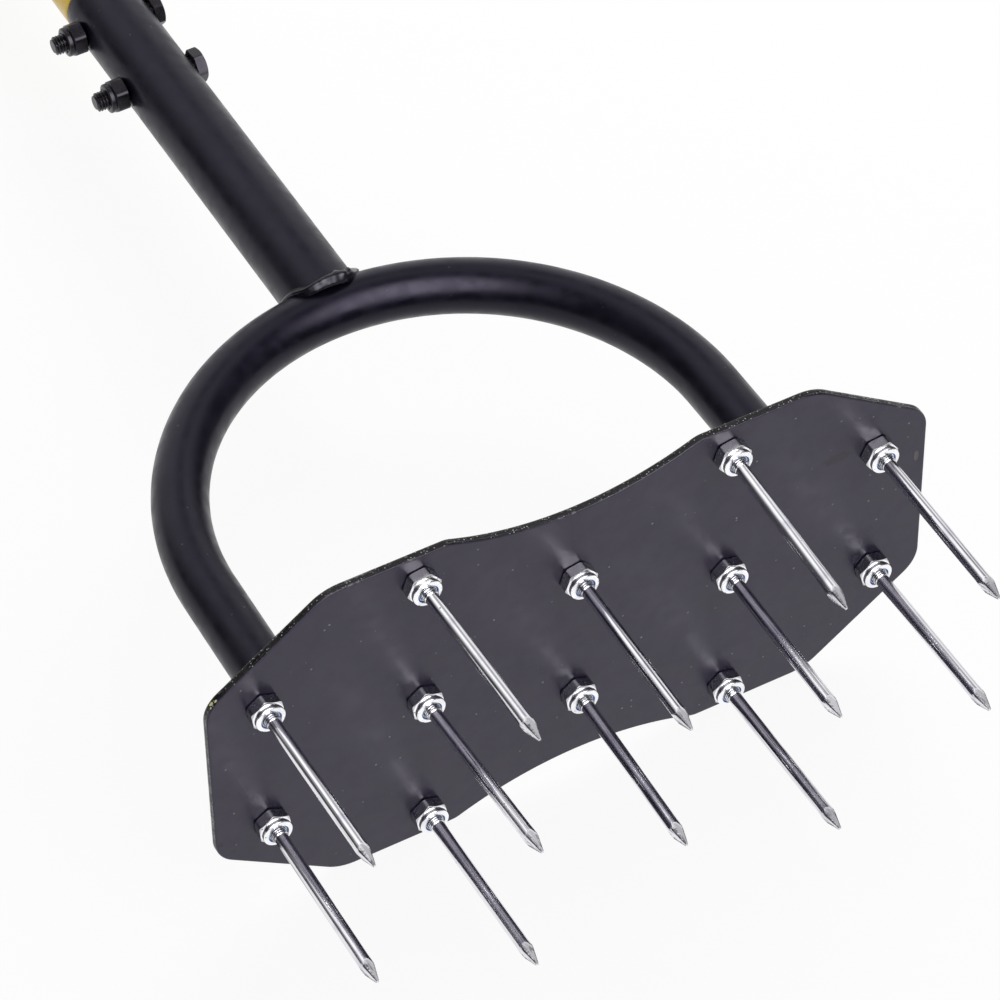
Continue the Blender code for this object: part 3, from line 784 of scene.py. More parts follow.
# The pale colour is a painted highlight on each ring's inner part.
NYLON = MouldedFinish(
    "nylon_blue", colour=(0.010, 0.11, 0.56), cloud_colour=(0.02, 0.16, 0.64),
    painted_highlight_colour=(0.80, 0.88, 1.0), roughness=0.30, grain_scale=900.0, grain_depth=0.00001,
    scattering=0.3,
)
RUBBER = MouldedFinish(
    "rubber_black", colour=(0.020, 0.020, 0.021), cloud_colour=(0.028, 0.028, 0.029),
    roughness=0.62, grain_scale=1300.0, grain_depth=0.00004,
)


Finish = CoatFinish | PlatedFinish | MouldedFinish


class Dresser:
    """Gives pieces their finishes, and makes each finish's material once."""

    def __init__(self, effects: Effects) -> None:
        """Keeps the shared node groups."""
        self.effects = effects
        self.made: dict[str, Material] = {}

    def dress(self, piece: Piece, node: str, slot: Slot, *finishes: Finish) -> None:
        """Dresses a piece and lets it stand for a node of the frame.

        Args:
            piece: The new piece, already in place.
            node: The node's name.
            slot: The record's slot that its finish belongs to; not used.
            finishes: The piece's finishes, in the order of its faces' material numbers.
        """
        for finish in finishes:
            if finish.name not in self.made:
                self.made[finish.name] = finish.material(self.effects)
            piece.data.materials.append(self.made[finish.name])
        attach(piece, BODY)
        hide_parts(node)
        LOG.info("%s stands for %s, %d faces", piece.name, node, len(piece.data.polygons))


# Plate


@dataclass
class TinePlate:
    """The stamped plate: its outline of lobes and waists, with a rolled rim and a sheared edge."""

    top: float = 0.0876
    underside: float = 0.0844
    column_pitch: float = 0.064
    row_pitch: float = 0.0635
    spikes_in_column: tuple[int, ...] = (2, 3, 2, 3, 2)
    end_margin: float = 0.022
    lobe_margin: float = 0.0125
    end_row_margin: float = 0.0090
    lobe_outer_reach: float = 0.0366
    lobe_inner_reach: float = 0.0125
    waist_inset: float = 0.0105
    lobe_radius: float = 0.020
    end_radius: float = 0.014
    waist_radius: float = 0.010
    waist_steps: int = 36
    arc_step: float = math.radians(3)
    hole_radius: float = 0.00345
    hole_sides: int = 24
    edge_middle: float = 0.086
    edge_half: float = 0.0014

    def spike_places(self) -> list[tuple[float, float]]:
        """Places the spikes column by column.

        Returns:
            The (x, y) of each spike.
        """
        places = []
        columns = len(self.spikes_in_column)
        for column, count in enumerate(self.spikes_in_column):
            x = (column - (columns - 1) / 2) * self.column_pitch
            places += [(x, (row - (count - 1) / 2) * self.row_pitch) for row in range(count)]
        return places

    def waist(self) -> list[tuple[float, float]]:
        """Draws the concave middle of the rear edge.

        Returns:
            Its points, left to right.
        """
        reach = self.column_pitch - self.lobe_inner_reach
        radius = (reach**2 + self.waist_inset**2) / (2 * self.waist_inset)
        half_angle = math.asin(reach / radius)
        angles = [half_angle * (2 * step / self.waist_steps - 1) for step in range(self.waist_steps + 1)]
        middle = self.row_pitch + self.lobe_margin - self.waist_inset + radius
        return [(radius * math.sin(a), middle - radius * math.cos(a)) for a in angles]

    def corners(self) -> Profile:
        """Sets out the outline's corners.

        Returns:
            The x, y and rounding of each.
        """
        half_width = (len(self.spikes_in_column) - 1) / 2 * self.column_pitch + self.end_margin
        end = (half_width, self.row_pitch / 2 + self.end_row_margin, self.end_radius)
        lobe_x = self.column_pitch + self.lobe_outer_reach
        lobe = (lobe_x, self.row_pitch + self.lobe_margin, self.lobe_radius)
        waist = self.waist()
        rear = [(-end[0], *end[1:]), (-lobe[0], *lobe[1:]), (*waist[0], self.waist_radius)]
        rear += [*unworn(*waist[1:-1]), (*waist[-1], self.waist_radius), lobe, end]
        return rear + [(-x, -y, radius) for x, y, radius in rear]

    def outline(self) -> list[Vector]:
        """Draws the outline, with its corners rounded by fine arcs.

        Returns:
            Its points, clockwise from above.
        """
        corners = self.corners()
        outline = []
        for index, (*_, radius) in enumerate(corners):
            corner, before, after = corner_legs(corners, index)
            if radius == 0:
                outline.append(corner)
                continue
            turn = math.pi - before.angle(after)
            start = corner + before.normalized() * radius * math.tan(turn / 2)
            middle = (before.normalized() + after.normalized()).normalized()
            centre = corner + middle * (radius / math.cos(turn / 2))
            side = 1 if before.cross(after) < 0 else -1
            steps = max(3, round(turn / self.arc_step))
            for step in range(steps + 1):
                outline.append(centre + Matrix.Rotation(side * turn * step / steps, 2) @ (start - centre))
        return outline

    def inset(self, outline: list[Vector], depth: float) -> list[Vector]:
        """Moves the outline inwards.

        Args:
            outline: The outline, clockwise from above.
            depth: How far it moves.

        Returns:
            As many points as the outline has.
        """
        moved = []
        for index, point in enumerate(outline):
            before = (point - outline[index - 1]).normalized()
            after = (outline[(index + 1) % len(outline)] - point).normalized()
            along = (before + after).normalized()
            moved.append(point + Vector((along.y, -along.x)) * depth)
        return moved

    def edge_section(self) -> Profile:
        """The edge from the upper face to the lower one: inset, height and wear of each point."""
        top, low = self.top, self.underside
        return [
            (0.00110, top, 0.0),
            (0.00055, top, 0.2),
            (0.00030, top - 0.00006, 1.0),
            (0.00010, top - 0.00022, 1.0),
            (0.00000, top - 0.00050, 0.5),
            (0.00000, low + 0.00150, 0.0),
            (0.00007, low + 0.00135, 0.0),
            (0.00003, low + 0.00100, 0.0),
            (0.00000, low + 0.00055, 0.3),
            (0.00008, low + 0.00022, 1.0),
            (0.00026, low + 0.00005, 1.0),
            (0.00048, low, 0.2),
            (0.00100, low, 0.0),
        ]

    def hole_ring(self, work: BMesh, x: float, y: float, z: float) -> Row:
        """A ring of vertices round one spike's hole, in the working mesh, about (x, y, z)."""
        ways = [(math.cos(angle), math.sin(angle)) for angle in turns(self.hole_sides)]
        return [work.verts.new((x + self.hole_radius * a, y + self.hole_radius * b, z)) for a, b in ways]

    def build(self) -> Piece:
        """Builds the plate, with its edge faces numbered for their own finish.

        Returns:
            The plate.
        """
        work = bmesh.new()
        wear = wear_layer(work)
        outline = self.outline()
        rows = []
        for depth, height, worn in self.edge_section():
            rows.append([work.verts.new((*point, height)) for point in self.inset(outline, depth)])
            for vertex in rows[-1]:
                vertex[wear] = worn
        skin(work, rows, closed=False)
        for face in work.faces:
            face.material_index = int(abs(face.calc_center_median().z - self.edge_middle) < self.edge_half)
        loops = {self.top: [rows[0]], self.underside: [rows[-1]]}
        for x, y in self.spike_places():
            rings = [self.hole_ring(work, x, y, z) for z in loops]
            skin(work, rings, closed=False)
            for z, ring in zip(loops, rings):
                loops[z].append(ring)
        for level in loops.values():
            edges = []
            for ring in level:
                pairs = zip(ring, [*ring[1:], ring[0]])
                edges += [work.edges.get(pair) or work.edges.new(pair) for pair in pairs]
            bmesh.ops.triangle_fill(work, use_beauty=True, edges=edges)
        return finished("plate_detail", work)

    def dress(self, dresser: Dresser) -> None:
        """Builds the plate and gives it its coats."""
        dresser.dress(self.build(), "tine_plate", Slot.POWDER_COAT, PLATE, PLATE_EDGE)


# Threaded pieces


def hexagon_reach(angle: float, across_flats: float, sharpness: float = 48.0) -> float:
    """How far a hexagon reaches at an angle from a flat's middle, its corners as sharp as is said."""
    total = sum(max(math.cos(angle - k * math.pi / 3), 0.0) ** sharpness for k in range(6))
    return across_flats / 2 * total ** (-1 / sharpness)


def thread_height(angle: float, height: float, pitch: float) -> float:
    """How high a thread's flank stands, from 0 at its root to 1 at its crest."""
    share = (height / pitch - angle / math.tau) % 1.0
    return min(1.0, max(0.0, 1.35 - 2.9 * abs(share - 0.5)) / 1.05)


def head_corners(
    angle: float, flats: float, low: float, high: float, step: float, roundings: tuple[float, float]
) -> Profile:
    """Sets out a hexagon head that is turned to a slope at its top.

    Args:
        angle: The angle from the middle of a flat.
        flats: The size across the flats.
        low: The height of its underside.
        high: The height of its top.
        step: How far its lower corner is cut back.
        roundings: How round its two upper corners are.

    Returns:
        The radius, height and rounding of each corner, from the axis out and down.
    """
    reach = hexagon_reach(angle, flats)
    start = flats / 2 * HEAD_TOP_SHARE
    return [
        (0.0, high, 0.0),
        (start, high, roundings[0]),
        (reach, high - (reach - start) * HEAD_SLOPE, roundings[1]),
        (reach, low + step, 0.0),
        (reach - step, low, 0.0),
    ]


@dataclass
class Spike:
    """One spike: hexagon head, neck, helical thread, plain shank and pinched diamond point."""

    number: int
    x: float
    y: float
    lean: tuple[float, float]
    head_turn: float
    head_low: float = 0.0879
    head_high: float = 0.0921
    head_flats: float = 0.0110
    head_cut: float = 0.0002
    head_roundings: tuple[float, float] = (0.00015, 0.0001)
    pivot: float = 0.0844
    neck_radius: float = 0.00315
    thread_low: float = 0.0747
    thread_high: float = 0.0794
    thread_pitch: float = 0.0010
    thread_steps: int = 40
    shank_radius: float = 0.00265
    point_turn: float = 0.0
    point_length: float = 0.0090
    point_end: float = 0.00050
    point_steps: int = 34
    flare: float = 1.035
    sides: int = 48

    def shank_reach(self, angle: float, height: float) -> float:
        """Draws the shank down to its tip.

        Args:
            angle: The angle round the shank.
            height: The height over the tip.

        Returns:
            The radius there.
        """
        across = max(abs(math.cos(angle)), abs(math.sin(angle)))
        climb = (self.shank_radius - self.point_end) / self.point_length
        flat = (self.point_end + height * climb) / across
        swell = s_curve(self.point_length * 1.4, self.point_length * 0.95, height)
        drawn = 1 + 0.008 * ripple(angle, self.number)
        return min(self.shank_radius * (drawn + (self.flare - 1) * swell), flat)

    def torn(self, angle: float, height: float) -> float:
        """Marks how torn the point is, which is most just past each of its ridges.

        Args:
            angle: The angle round the point.
            height: The height over the tip.

        Returns:
            The wear there.
        """
        past_ridge = (math.degrees(angle) + 45.0 + 1e-6) % 90.0
        across = 1.0 if past_ridge < 8.0 else 0.66 * s_curve(45.0, 22.0, past_ridge)
        return across * s_curve(self.point_length, 0.8 * self.point_length, height)

    def profile_at(self, angle: float) -> Profile:
        """Draws the whole spike.

        Args:
            angle: The angle round it.

        Returns:
            The half section, from the head's middle down to the tip.
        """
        neck, low, cut = self.neck_radius, self.head_low, self.head_cut
        turned_by = angle - self.head_turn
        head = head_corners(turned_by, self.head_flats, low, self.head_high, cut, self.head_roundings)
        profile = softened(head + unworn((neck + cut, low), (neck, low - cut)), 2)
        profile.append((neck, self.thread_high + 0.0003, 0.0))
        depth = neck - self.shank_radius
        for step in range(self.thread_steps + 1):
            height = self.thread_high + (self.thread_low - self.thread_high) * step / self.thread_steps
            run_out = s_curve(self.thread_low, self.thread_low + 0.0009, height)
            crest = thread_height(angle, height, self.thread_pitch) * run_out
            # The thread's roots and lower flanks are marked as worn, so the spike's finish paints them
            # dark: painted shade in the thread's grooves.
            worn = min(1.0, 1.6 * (1 - crest)) * run_out
            profile.append((self.shank_radius + depth * crest, height, worn))
        heights = [self.thread_low * share for share in (0.97, 0.75, 0.5, 0.3)]
        profile += unworn(*((self.shank_reach(angle, height), height) for height in heights))
        for step in range(self.point_steps + 1):
            height = self.point_length * 1.5 * (1 - step / self.point_steps)
            profile.append((self.shank_reach(angle, height), height, self.torn(angle, height)))
        return [*profile, (0.0, 0.0, 0.0)]

    def build(self) -> Piece:
        """Builds the spike upright, then leans it about the plate as the real one stands.

        Returns:
            The spike.
        """
        work = bmesh.new()
        turned(work, self.profile_at, self.sides, False, Matrix.Rotation(self.point_turn, 4, "Z"))
        for vertex in work.verts:
            below = max(0.0, (self.pivot - vertex.co.z) / self.pivot)
            vertex.co.x += self.x + self.lean[0] * below
            vertex.co.y += self.y + self.lean[1] * below
        return finished(f"spike_{self.number:02d}_detail", work, 40.0)


@dataclass
class LockNut:
    """A lock nut with a crimped collar and the nylon ring in it, standing on z = 0, collar upwards."""

    bore: float
    ring_outside: float
    height: float
    turn: float
    collar_height: float = 0.0024
    rim: float = 0.0005
    clearance: float = 0.0003
    collar_wall: float = 0.0010
    collar_lip: float = 0.00085
    collar_rise: float = 0.0006
    collar_step: float = 0.00035
    sharpness: float = 19.0
    sides: int = 96

    @property
    def pocket(self) -> float:
        """The radius of the ring's pocket."""
        return self.ring_outside + self.clearance

    def nut_profile(self, angle: float) -> Profile:
        """Draws the nut.

        Args:
            angle: The angle round it.

        Returns:
            The half section, from the collar's lip out, down and back up the bore.
        """
        collar = self.pocket + self.collar_wall
        flats = 2 * (collar + self.collar_step)
        reach = hexagon_reach(angle - self.turn, flats, self.sharpness)
        seat = flats / 2 * 1.01
        shoulder = self.height - self.collar_height
        pocket_top = self.height - self.rim
        lip = self.pocket - self.collar_lip
        start = lip + 0.0001
        crimp = quarter(start, self.height - self.collar_rise, collar - start, self.collar_rise)
        body = [
            (collar, shoulder + 0.00050, 0.0),
            (collar - 0.00025, shoulder + 0.00015, 0.0),
            (collar - 0.00012, shoulder, 0.0),
            (reach, shoulder - (reach - collar) * NUT_SLOPE, 0.00010),
            (reach, max(0.00015, (reach - seat) * NUT_SLOPE), 0.0),
            (min(reach, seat) - 0.0001, 0.0, 0.0),
            (self.bore + 0.0004, 0.0, 0.0),
            (self.bore, 0.0004, 0.0),
            (self.bore, shoulder, 0.0),
            (self.pocket, shoulder, 0.0),
            (self.pocket, pocket_top, 0.0),
            (lip, pocket_top, 0.0),
        ]
        return crimp + softened(body, 2)

    def ring_profile(self, thread_radius: float) -> Profile:
        """Draws the ring, whose bore has taken the thread.

        Args:
            thread_radius: The outer radius of the thread.

        Returns:
            The half section, with its inner part marked as worn so that the finish paints it pale: a
            painted highlight on the ring's inner rounding.
        """
        low = self.height - self.collar_height + self.clearance
        high = self.height - self.rim - self.clearance / 3
        inner = thread_radius + 0.00005
        rim = inner + 0.62 * (self.pocket - self.collar_lip - inner)
        # Inside this radius the ring is painted pale: a painted highlight.
        pale = inner + 0.7 * (rim - inner)
        corners = [(self.ring_outside, high, 0.0002), (self.ring_outside, low, 0.0), (inner, low, 0.0)]
        corners += [(inner, high, 0.00025), (pale, high, 0.0), (rim, high, 0.0)]
        return [(radius, height, float(radius < pale + 1e-6)) for radius, height, _ in softened(corners)]

    def build(self, label: str, thread_radius: float, placing: Matrix) -> list[Piece]:
        """Builds the nut and its ring.

        Args:
            label: Starts the two pieces' names.
            thread_radius: The outer radius of the thread that they take.
            placing: Where the nut goes.

        Returns:
            The nut and the ring.
        """
        ring = self.ring_profile(thread_radius)
        kinds = {"nut": self.nut_profile, "ring": lambda angle: ring}
        return [
            turned_piece(f"{label}_{kind}_detail", profile_at, self.sides, True, placing, 30.0)
            for kind, profile_at in kinds.items()
        ]


@dataclass
class SpikeSet:
    """The twelve spikes, each with its own slight lean, and their nuts and rings."""

    plate: TinePlate
    nut_seat: float = 0.0841
    head_turn_step: float = 0.7
    leans: tuple[tuple[float, float], ...] = (
        (0.0003, -0.0010),
        (-0.0005, 0.0001),
        (0.0020, 0.0016),
        (0.0026, -0.0003),
        (0.0002, -0.0009),
        (-0.0007, -0.0004),
        (-0.0016, -0.0001),
        (-0.0019, 0.0020),
        (-0.0016, -0.0028),
        (0.0007, -0.0015),
        (0.0000, 0.0007),
        (0.0003, -0.0008),
    )
    nut_turns: tuple[float, ...] = (7, 4, 38, 7, 9, 41, 8, 40, 12, 12, 36, 14)
    point_turns: tuple[float, ...] = (-8, 1, 1, 0, -4, -6, -3, 3, -5, -9, -2, -6)

    def dress(self, dresser: Dresser) -> None:
        """Builds and dresses every spike, nut and ring.

        Args:
            dresser: Gives them their finishes.
        """
        places = zip(self.plate.spike_places(), self.leans, self.nut_turns, self.point_turns)
        for number, ((x, y), lean, nut_turn, point_turn) in enumerate(places, start=1):
            label = f"spike_{number:02d}"
            head_turn = number * self.head_turn_step
            spike = Spike(number, x, y, lean, head_turn, point_turn=math.radians(point_turn))
            dresser.dress(spike.build(), label, Slot.ZINC_STEEL, SPIKE)
            nut = LockNut(bore=0.00345, ring_outside=0.0046, height=0.0070, turn=math.radians(nut_turn))
            placing = Matrix.Translation((x, y, self.nut_seat)) @ HALF_TURN_OVER
            body, ring = nut.build(label, spike.neck_radius, placing)
            dresser.dress(body, f"lock_nut_{number:02d}", Slot.ZINC_STEEL, NUT)
            dresser.dress(ring, f"nylon_ring_{number:02d}", Slot.BLUE_NYLON, NYLON)


# Hoop


@dataclass
class Hoop:
    """The bent tube over the plate and the bead round each of its feet."""

    radius: float = 0.0111
    wall: float = 0.0018
    half_width: float = 0.1094
    lean: float = 0.0013
    foot: float = 0.0879
    spring: float = 0.1663
    rise: float = 0.1110
    arch_steps: int = 120
    sides: int = 40
    bead_height: float = 0.0045
    bead_width: float = 0.0045
    bead_ripples: int = 24
    bead_sides: int = 96

    def crown_height(self, x: float) -> float:
        """The height of the centre line at x, near the crown."""
        half = self.half_width - self.lean
        return self.spring + self.rise * math.sqrt(1 - (x / half) ** 2)

    def line(self) -> list[Vector]:
        """Draws the centre line.

        Returns:
            Its points, from the right foot over the crown to the left one.
        """
        half = self.half_width - self.lean
        leg = [Vector((self.half_width, 0.0, self.foot + rise)) for rise in (0.0, self.bead_height)]
        angles = [math.pi * step / self.arch_steps for step in range(self.arch_steps + 1)]
        arch = [Vector((half * math.cos(a), 0.0, self.spring + self.rise * math.sin(a))) for a in angles]
        return leg + arch + [Vector((-p.x, 0.0, p.z)) for p in reversed(leg)]

    def build_tube(self) -> Piece:
        """Builds the hollow tube, open at both feet.

        Returns:
            The tube.
        """
        work = bmesh.new()
        line, across = self.line(), Vector((0.0, 1.0, 0.0))
        outer, inner = (
            swept(work, line, lambda p: across, lambda s, a: radius, self.sides, closed=False)
            for radius in (self.radius, self.radius - self.wall)
        )
        for end in (0, -1):
            skin(work, [outer[end], inner[end]], closed=False)
        return finished("hoop_detail", work)

    def build_bead(self, side: Side) -> Piece:
        """Builds the rippled bead round one foot.

        Args:
            side: Which foot.

        Returns:
            The bead.
        """
        inside = self.radius + 0.0003

        def section(angle: float) -> Profile:
            """Draws the bead, which swells at each ripple.

            Args:
                angle: The angle round the foot.

            Returns:
                The half section.
            """
            lap = abs(math.sin(self.bead_ripples / 2 * angle))
            swell = 0.90 + 0.10 * lap + 0.05 * ripple(angle, side.value)
            outside = quarter(inside, 0.0, self.bead_width * swell, self.bead_height * swell)
            return outside + unworn((inside, 0.0))

        name = f"hoop_bead_{side.name.lower()}_detail"
        placing = Matrix.Translation((side.value * self.half_width, 0.0, self.foot))
        return turned_piece(name, section, self.bead_sides, True, placing, 60.0)

    def dress(self, dresser: Dresser) -> None:
        """Builds and dresses the tube and both beads.

        Args:
            dresser: Gives them their finishes.
        """
        dresser.dress(self.build_tube(), "hoop_tube", Slot.TUBE_PAINT, TUBE)
        for side in Side:
            dresser.dress(self.build_bead(side), f"hoop_weld_{side.name.lower()}", Slot.TUBE_PAINT, BEAD)


# Shafts


def coped(middle: float, run: float, across: float, end: float, way: int) -> float:
    """Finds where a tube ends that is coped to a crossing one.

    Args:
        middle: The height of the crossing tube's centre line.
        run: Its radius and the gap.
        across: How far to the side of that line the place is.
        end: Where the tube ends past the crossing tube's sides.
        way: 1 where the tube stands on the crossing one, -1 where it hangs from it.

    Returns:
        The height of the tube's end there.
    """
    over = math.sqrt(max(run**2 - across**2, 0.0))
    return way * max(way * end, way * (middle + way * over)) if over else end


@dataclass
class SaddleBead:
    """A rippled bead that runs round a shaft where it meets a crossing tube."""

    name: str
    run_height: Callable[[float], float]
    run_radius: float
    upwards: int
    ring_radius: float = 0.0145
    bead_radius: float = 0.0030
    dip: float = 0.0065
    sink: float = 0.0005
    ripples: int = 34
    steps: int = 220
    sides: int = 20
    swells: tuple[float, ...] = (1.06, 0.98, 0.95, 1.00, 0.98, 0.95, 1.06, 0.93, 0.88, 1.02, 1.06, 1.02)
    lumps: tuple[tuple[float, float, float], ...] = (
        (284, -50, 0.36),
        (293, 25, 0.30),
        (305, -30, 0.40),
        (262, 30, 0.15),
        (338, 0, 0.22),
        (156, 0, 0.35),
        (80, 0, 0.3),
    )

    def line(self) -> list[Vector]:
        """Draws the bead's middle line over the crossing tube.

        Returns:
            Its points.
        """
        points = []
        for angle in turns(self.steps):
            x, y = self.ring_radius * math.cos(angle), self.ring_radius * math.sin(angle)
            deep = self.run_radius**2 - y**2
            over = math.sqrt(0.5 * (deep + math.sqrt(deep**2 + self.dip**4)))
            points.append(Vector((x, y, self.run_height(x) + self.upwards * (over - self.sink))))
        return points

    def radius_at(self, share: float, angle: float) -> float:
        """Draws the bead's section, with its ripples and a few lumps.

        Args:
            share: The share of the middle line.
            angle: The angle round it.

        Returns:
            The bead's radius there.
        """
        turn = math.tau * share
        place = share * len(self.swells)
        first = int(place)
        rest = s_curve(0.0, 1.0, place - first)
        swell = self.swells[first % len(self.swells)] * (1 - rest)
        swell += self.swells[(first + 1) % len(self.swells)] * rest
        lap = abs(math.sin(self.ripples / 2 * turn + 0.5 * math.sin(angle)))
        swell *= 0.95 + 0.02 * lap + 0.03 * ripple(turn, 2.3)
        swell *= 1 - 0.22 * math.sin(2 * angle) ** 2
        for along, round_it, size in self.lumps:
            far = math.remainder(turn - math.radians(along), math.tau) / 0.10
            off = math.remainder(angle - math.radians(round_it), math.tau) / 0.55
            swell += size * math.exp(-(far**2) - off**2)
        return self.bead_radius * swell

    def build(self) -> Piece:
        """Builds the bead.

        Returns:
            The bead.
        """
        work = bmesh.new()
        line = self.line()
        swept(work, line, lambda p: Vector((p.x, p.y, 0.0)).normalized(), self.radius_at, self.sides, True)
        return finished(self.name, work, 60.0)


@dataclass
class Shafts:
    """The coped lower shaft, the swaged upper one, and the bead at each end."""

    hoop: Hoop
    radius: float = 0.0151
    bore: float = 0.0135
    joint: float = 0.4823
    bar_height: float = 0.8806
    bar_radius: float = 0.0127
    clearance: float = 0.0003
    coped_end: float = 0.0010
    swage_radius: float = 0.0132
    swage_bore: float = 0.0116
    swage_foot: float = 0.4123
    swage_taper: float = 0.0060
    lower_rows: tuple[float, ...] = (0.3600, 0.3000)
    upper_rows: tuple[float, ...] = (0.8500, 0.7000, 0.6000, 0.5200)
    drill_radius: float = 0.0044
    drill_sides: int = 24
    sides: int = 96

    def drills(self) -> list[Piece]:
        """Makes a cross drill for each bolt.

        Returns:
            The drills.
        """
        made = []
        for height in BOLT_HEIGHTS.values():
            work = bmesh.new()
            placing = Matrix.Translation((0.0, 0.0, height)) @ TO_RIGHT
            ends = {"radius1": self.drill_radius, "radius2": self.drill_radius, "depth": 4 * self.radius}
            bmesh.ops.create_cone(work, cap_ends=True, segments=self.drill_sides, matrix=placing, **ends)
            made.append(finished("drill", work))
        return made

    def lower_foot(self, angle: float, radius: float) -> tuple[float, float]:
        """Finds where the lower shaft's wall ends on the hoop.

        Args:
            angle: The angle round the shaft.
            radius: The radius in its wall.

        Returns:
            That radius and the height there.
        """
        x, y = radius * math.cos(angle), radius * math.sin(angle)
        end = self.hoop.spring + self.hoop.rise + self.coped_end
        return radius, coped(self.hoop.crown_height(x), self.hoop.radius + self.clearance, y, end, 1)

    def lower_profile(self, angle: float) -> Profile:
        """Draws the lower shaft.

        Args:
            angle: The angle round it.

        Returns:
            The half section, from the rim down the outside and up the bore.
        """
        top = self.joint
        rim = [
            (self.bore, top - 0.0003, 0.0),
            (self.bore + 0.0003, top, 1.0),
            (self.radius - 0.0004, top, 1.0),
            (self.radius - 0.0001, top - 0.0001, 1.0),
        ]
        rows = [top - 0.0004, *JOINT_ROWS, *self.lower_rows]
        feet = [self.lower_foot(angle, self.radius), self.lower_foot(angle, self.bore)]
        outside = [(self.radius, height) for height in rows]
        return rim + unworn(*outside, *feet, *((self.bore, height) for height in reversed(rows)))

    def upper_end(self, angle: float, radius: float) -> tuple[float, float]:
        """The point where the upper shaft's wall ends under the bar, at an angle and a radius."""
        across, end = radius * math.sin(angle), self.bar_height - self.coped_end
        return radius, coped(self.bar_height, self.bar_radius + self.clearance, across, end, -1)

    def upper_profile(self, angle: float) -> Profile:
        """Draws the upper shaft.

        Args:
            angle: The angle round it.

        Returns:
            The half section, from its top down the outside to the swaged foot and up the bore.
        """
        shoulder = self.joint + self.clearance
        foot = self.swage_foot
        rows = [*self.upper_rows, shoulder + 0.0020]
        swage_rows = [*JOINT_ROWS, foot + 0.0003]
        outside = unworn(*((self.radius, height) for height in rows), (self.radius, shoulder + 0.0009))
        outside += [(self.radius - 0.0003, shoulder + 0.0003, 1.0), (self.radius - 0.0010, shoulder, 1.0)]
        outside += unworn(*((self.swage_radius, height) for height in (shoulder, *swage_rows)))
        inside = [(self.swage_bore, height) for height in (foot, *reversed(JOINT_ROWS), shoulder)]
        inside += [(self.bore, height) for height in (shoulder + self.swage_taper, *reversed(rows[:-1]))]
        ends = [self.upper_end(angle, self.bore), self.upper_end(angle, self.radius)]
        return outside + [(self.swage_radius - 0.0003, foot, 1.0)] + unworn(*inside, *ends)

    def dress(self, dresser: Dresser) -> None:
        """Builds and dresses both shafts, with their bolt holes, and their beads.

        Args:
            dresser: Gives them their finishes.
        """
        drills = self.drills()
        looks = {"lower": (self.lower_profile, Slot.TUBE_PAINT, TUBE)}
        looks["upper"] = (self.upper_profile, Slot.YELLOW_PAINT, YELLOW)
        for label, (profile_at, slot, finish) in looks.items():
            piece = turned_piece(f"{label}_shaft_detail", profile_at, self.sides)
            drill_out(piece, drills)
            dresser.dress(piece, f"{label}_shaft", slot, finish)
        for drill in drills:
            bpy.data.objects.remove(drill, do_unlink=True)
        crown = SaddleBead("shaft_bead_detail", self.hoop.crown_height, self.hoop.radius, 1)
        dresser.dress(crown.build(), "shaft_weld", Slot.TUBE_PAINT, BEAD)
        bar = SaddleBead("bar_bead_detail", lambda x: self.bar_height, self.bar_radius, -1)
        dresser.dress(bar.build(), "handle_weld", Slot.YELLOW_PAINT, YELLOW)


@dataclass
class ShaftBolts:
    """Both bolts through the shaft joint, heads on the right, lock nuts on the left."""

    seat: float = 0.0154
    radius: float = 0.0040
    head_height: float = 0.0048
    head_flats: float = 0.0130
    head_cut: float = 0.0003
    head_roundings: tuple[float, float] = (0.00020, 0.00012)
    first_turn: float = 0.35
    turn_step: float = 0.3
    nut_height: float = 0.0080
    past_nut: float = 0.0050
    thread_length: float = 0.0150
    thread_pitch: float = 0.00125
    thread_depth: float = 0.00060
    thread_steps: int = 96
    sides: int = 72

    def bolt_profile(self, angle: float) -> Profile:
        """Draws a bolt with its seat at z = 0 and its head above.

        Args:
            angle: The angle round it.

        Returns:
            The half section, from the head's middle down to the thread's end.
        """
        low = -(2 * self.seat + self.nut_height + self.past_nut)
        top, cut = self.head_height, self.head_cut
        head = head_corners(angle, self.head_flats, 0.0, top, cut, self.head_roundings)
        shank = unworn((self.radius, 0.0), (self.radius, low + self.thread_length + cut))
        profile = softened(head + shank, 2)
        for step in range(self.thread_steps + 1):
            height = low + self.thread_length * (1 - step / self.thread_steps)
            crest = thread_height(angle, height, self.thread_pitch)
            outside = self.radius - 0.0009 * s_curve(low + 0.0011, low, height)
            profile.append((outside - self.thread_depth * (1 - crest), height, 0.0))
        return profile + unworn((self.radius * 0.6, low), (0.0, low))

    def dress(self, dresser: Dresser) -> None:
        """Builds and dresses both bolts with their nuts and rings.

        Args:
            dresser: Gives them their finishes.
        """
        for number, (label, height) in enumerate(BOLT_HEIGHTS.items()):
            turn = Matrix.Rotation(self.first_turn + self.turn_step * number, 4, "Z")
            placing = Matrix.Translation((self.seat, 0.0, height)) @ TO_RIGHT @ turn
            bolt = turned_piece(f"{label}_bolt_detail", self.bolt_profile, self.sides, False, placing)
            dresser.dress(bolt, f"shaft_bolt_{label}", Slot.BLACK_STEEL, BLACK)
            nut = LockNut(
                bore=0.0043, ring_outside=0.00485, height=self.nut_height, turn=0.2 + number, sharpness=15.0
            )
            placing = Matrix.Translation((-self.seat, 0.0, height)) @ TO_LEFT
            body, ring = nut.build(f"{label}_bolt", self.radius, placing)
            dresser.dress(body, f"bolt_nut_{label}", Slot.BLACK_STEEL, BLACK)
            dresser.dress(ring, f"bolt_ring_{label}", Slot.BLUE_NYLON, NYLON)


# Handle


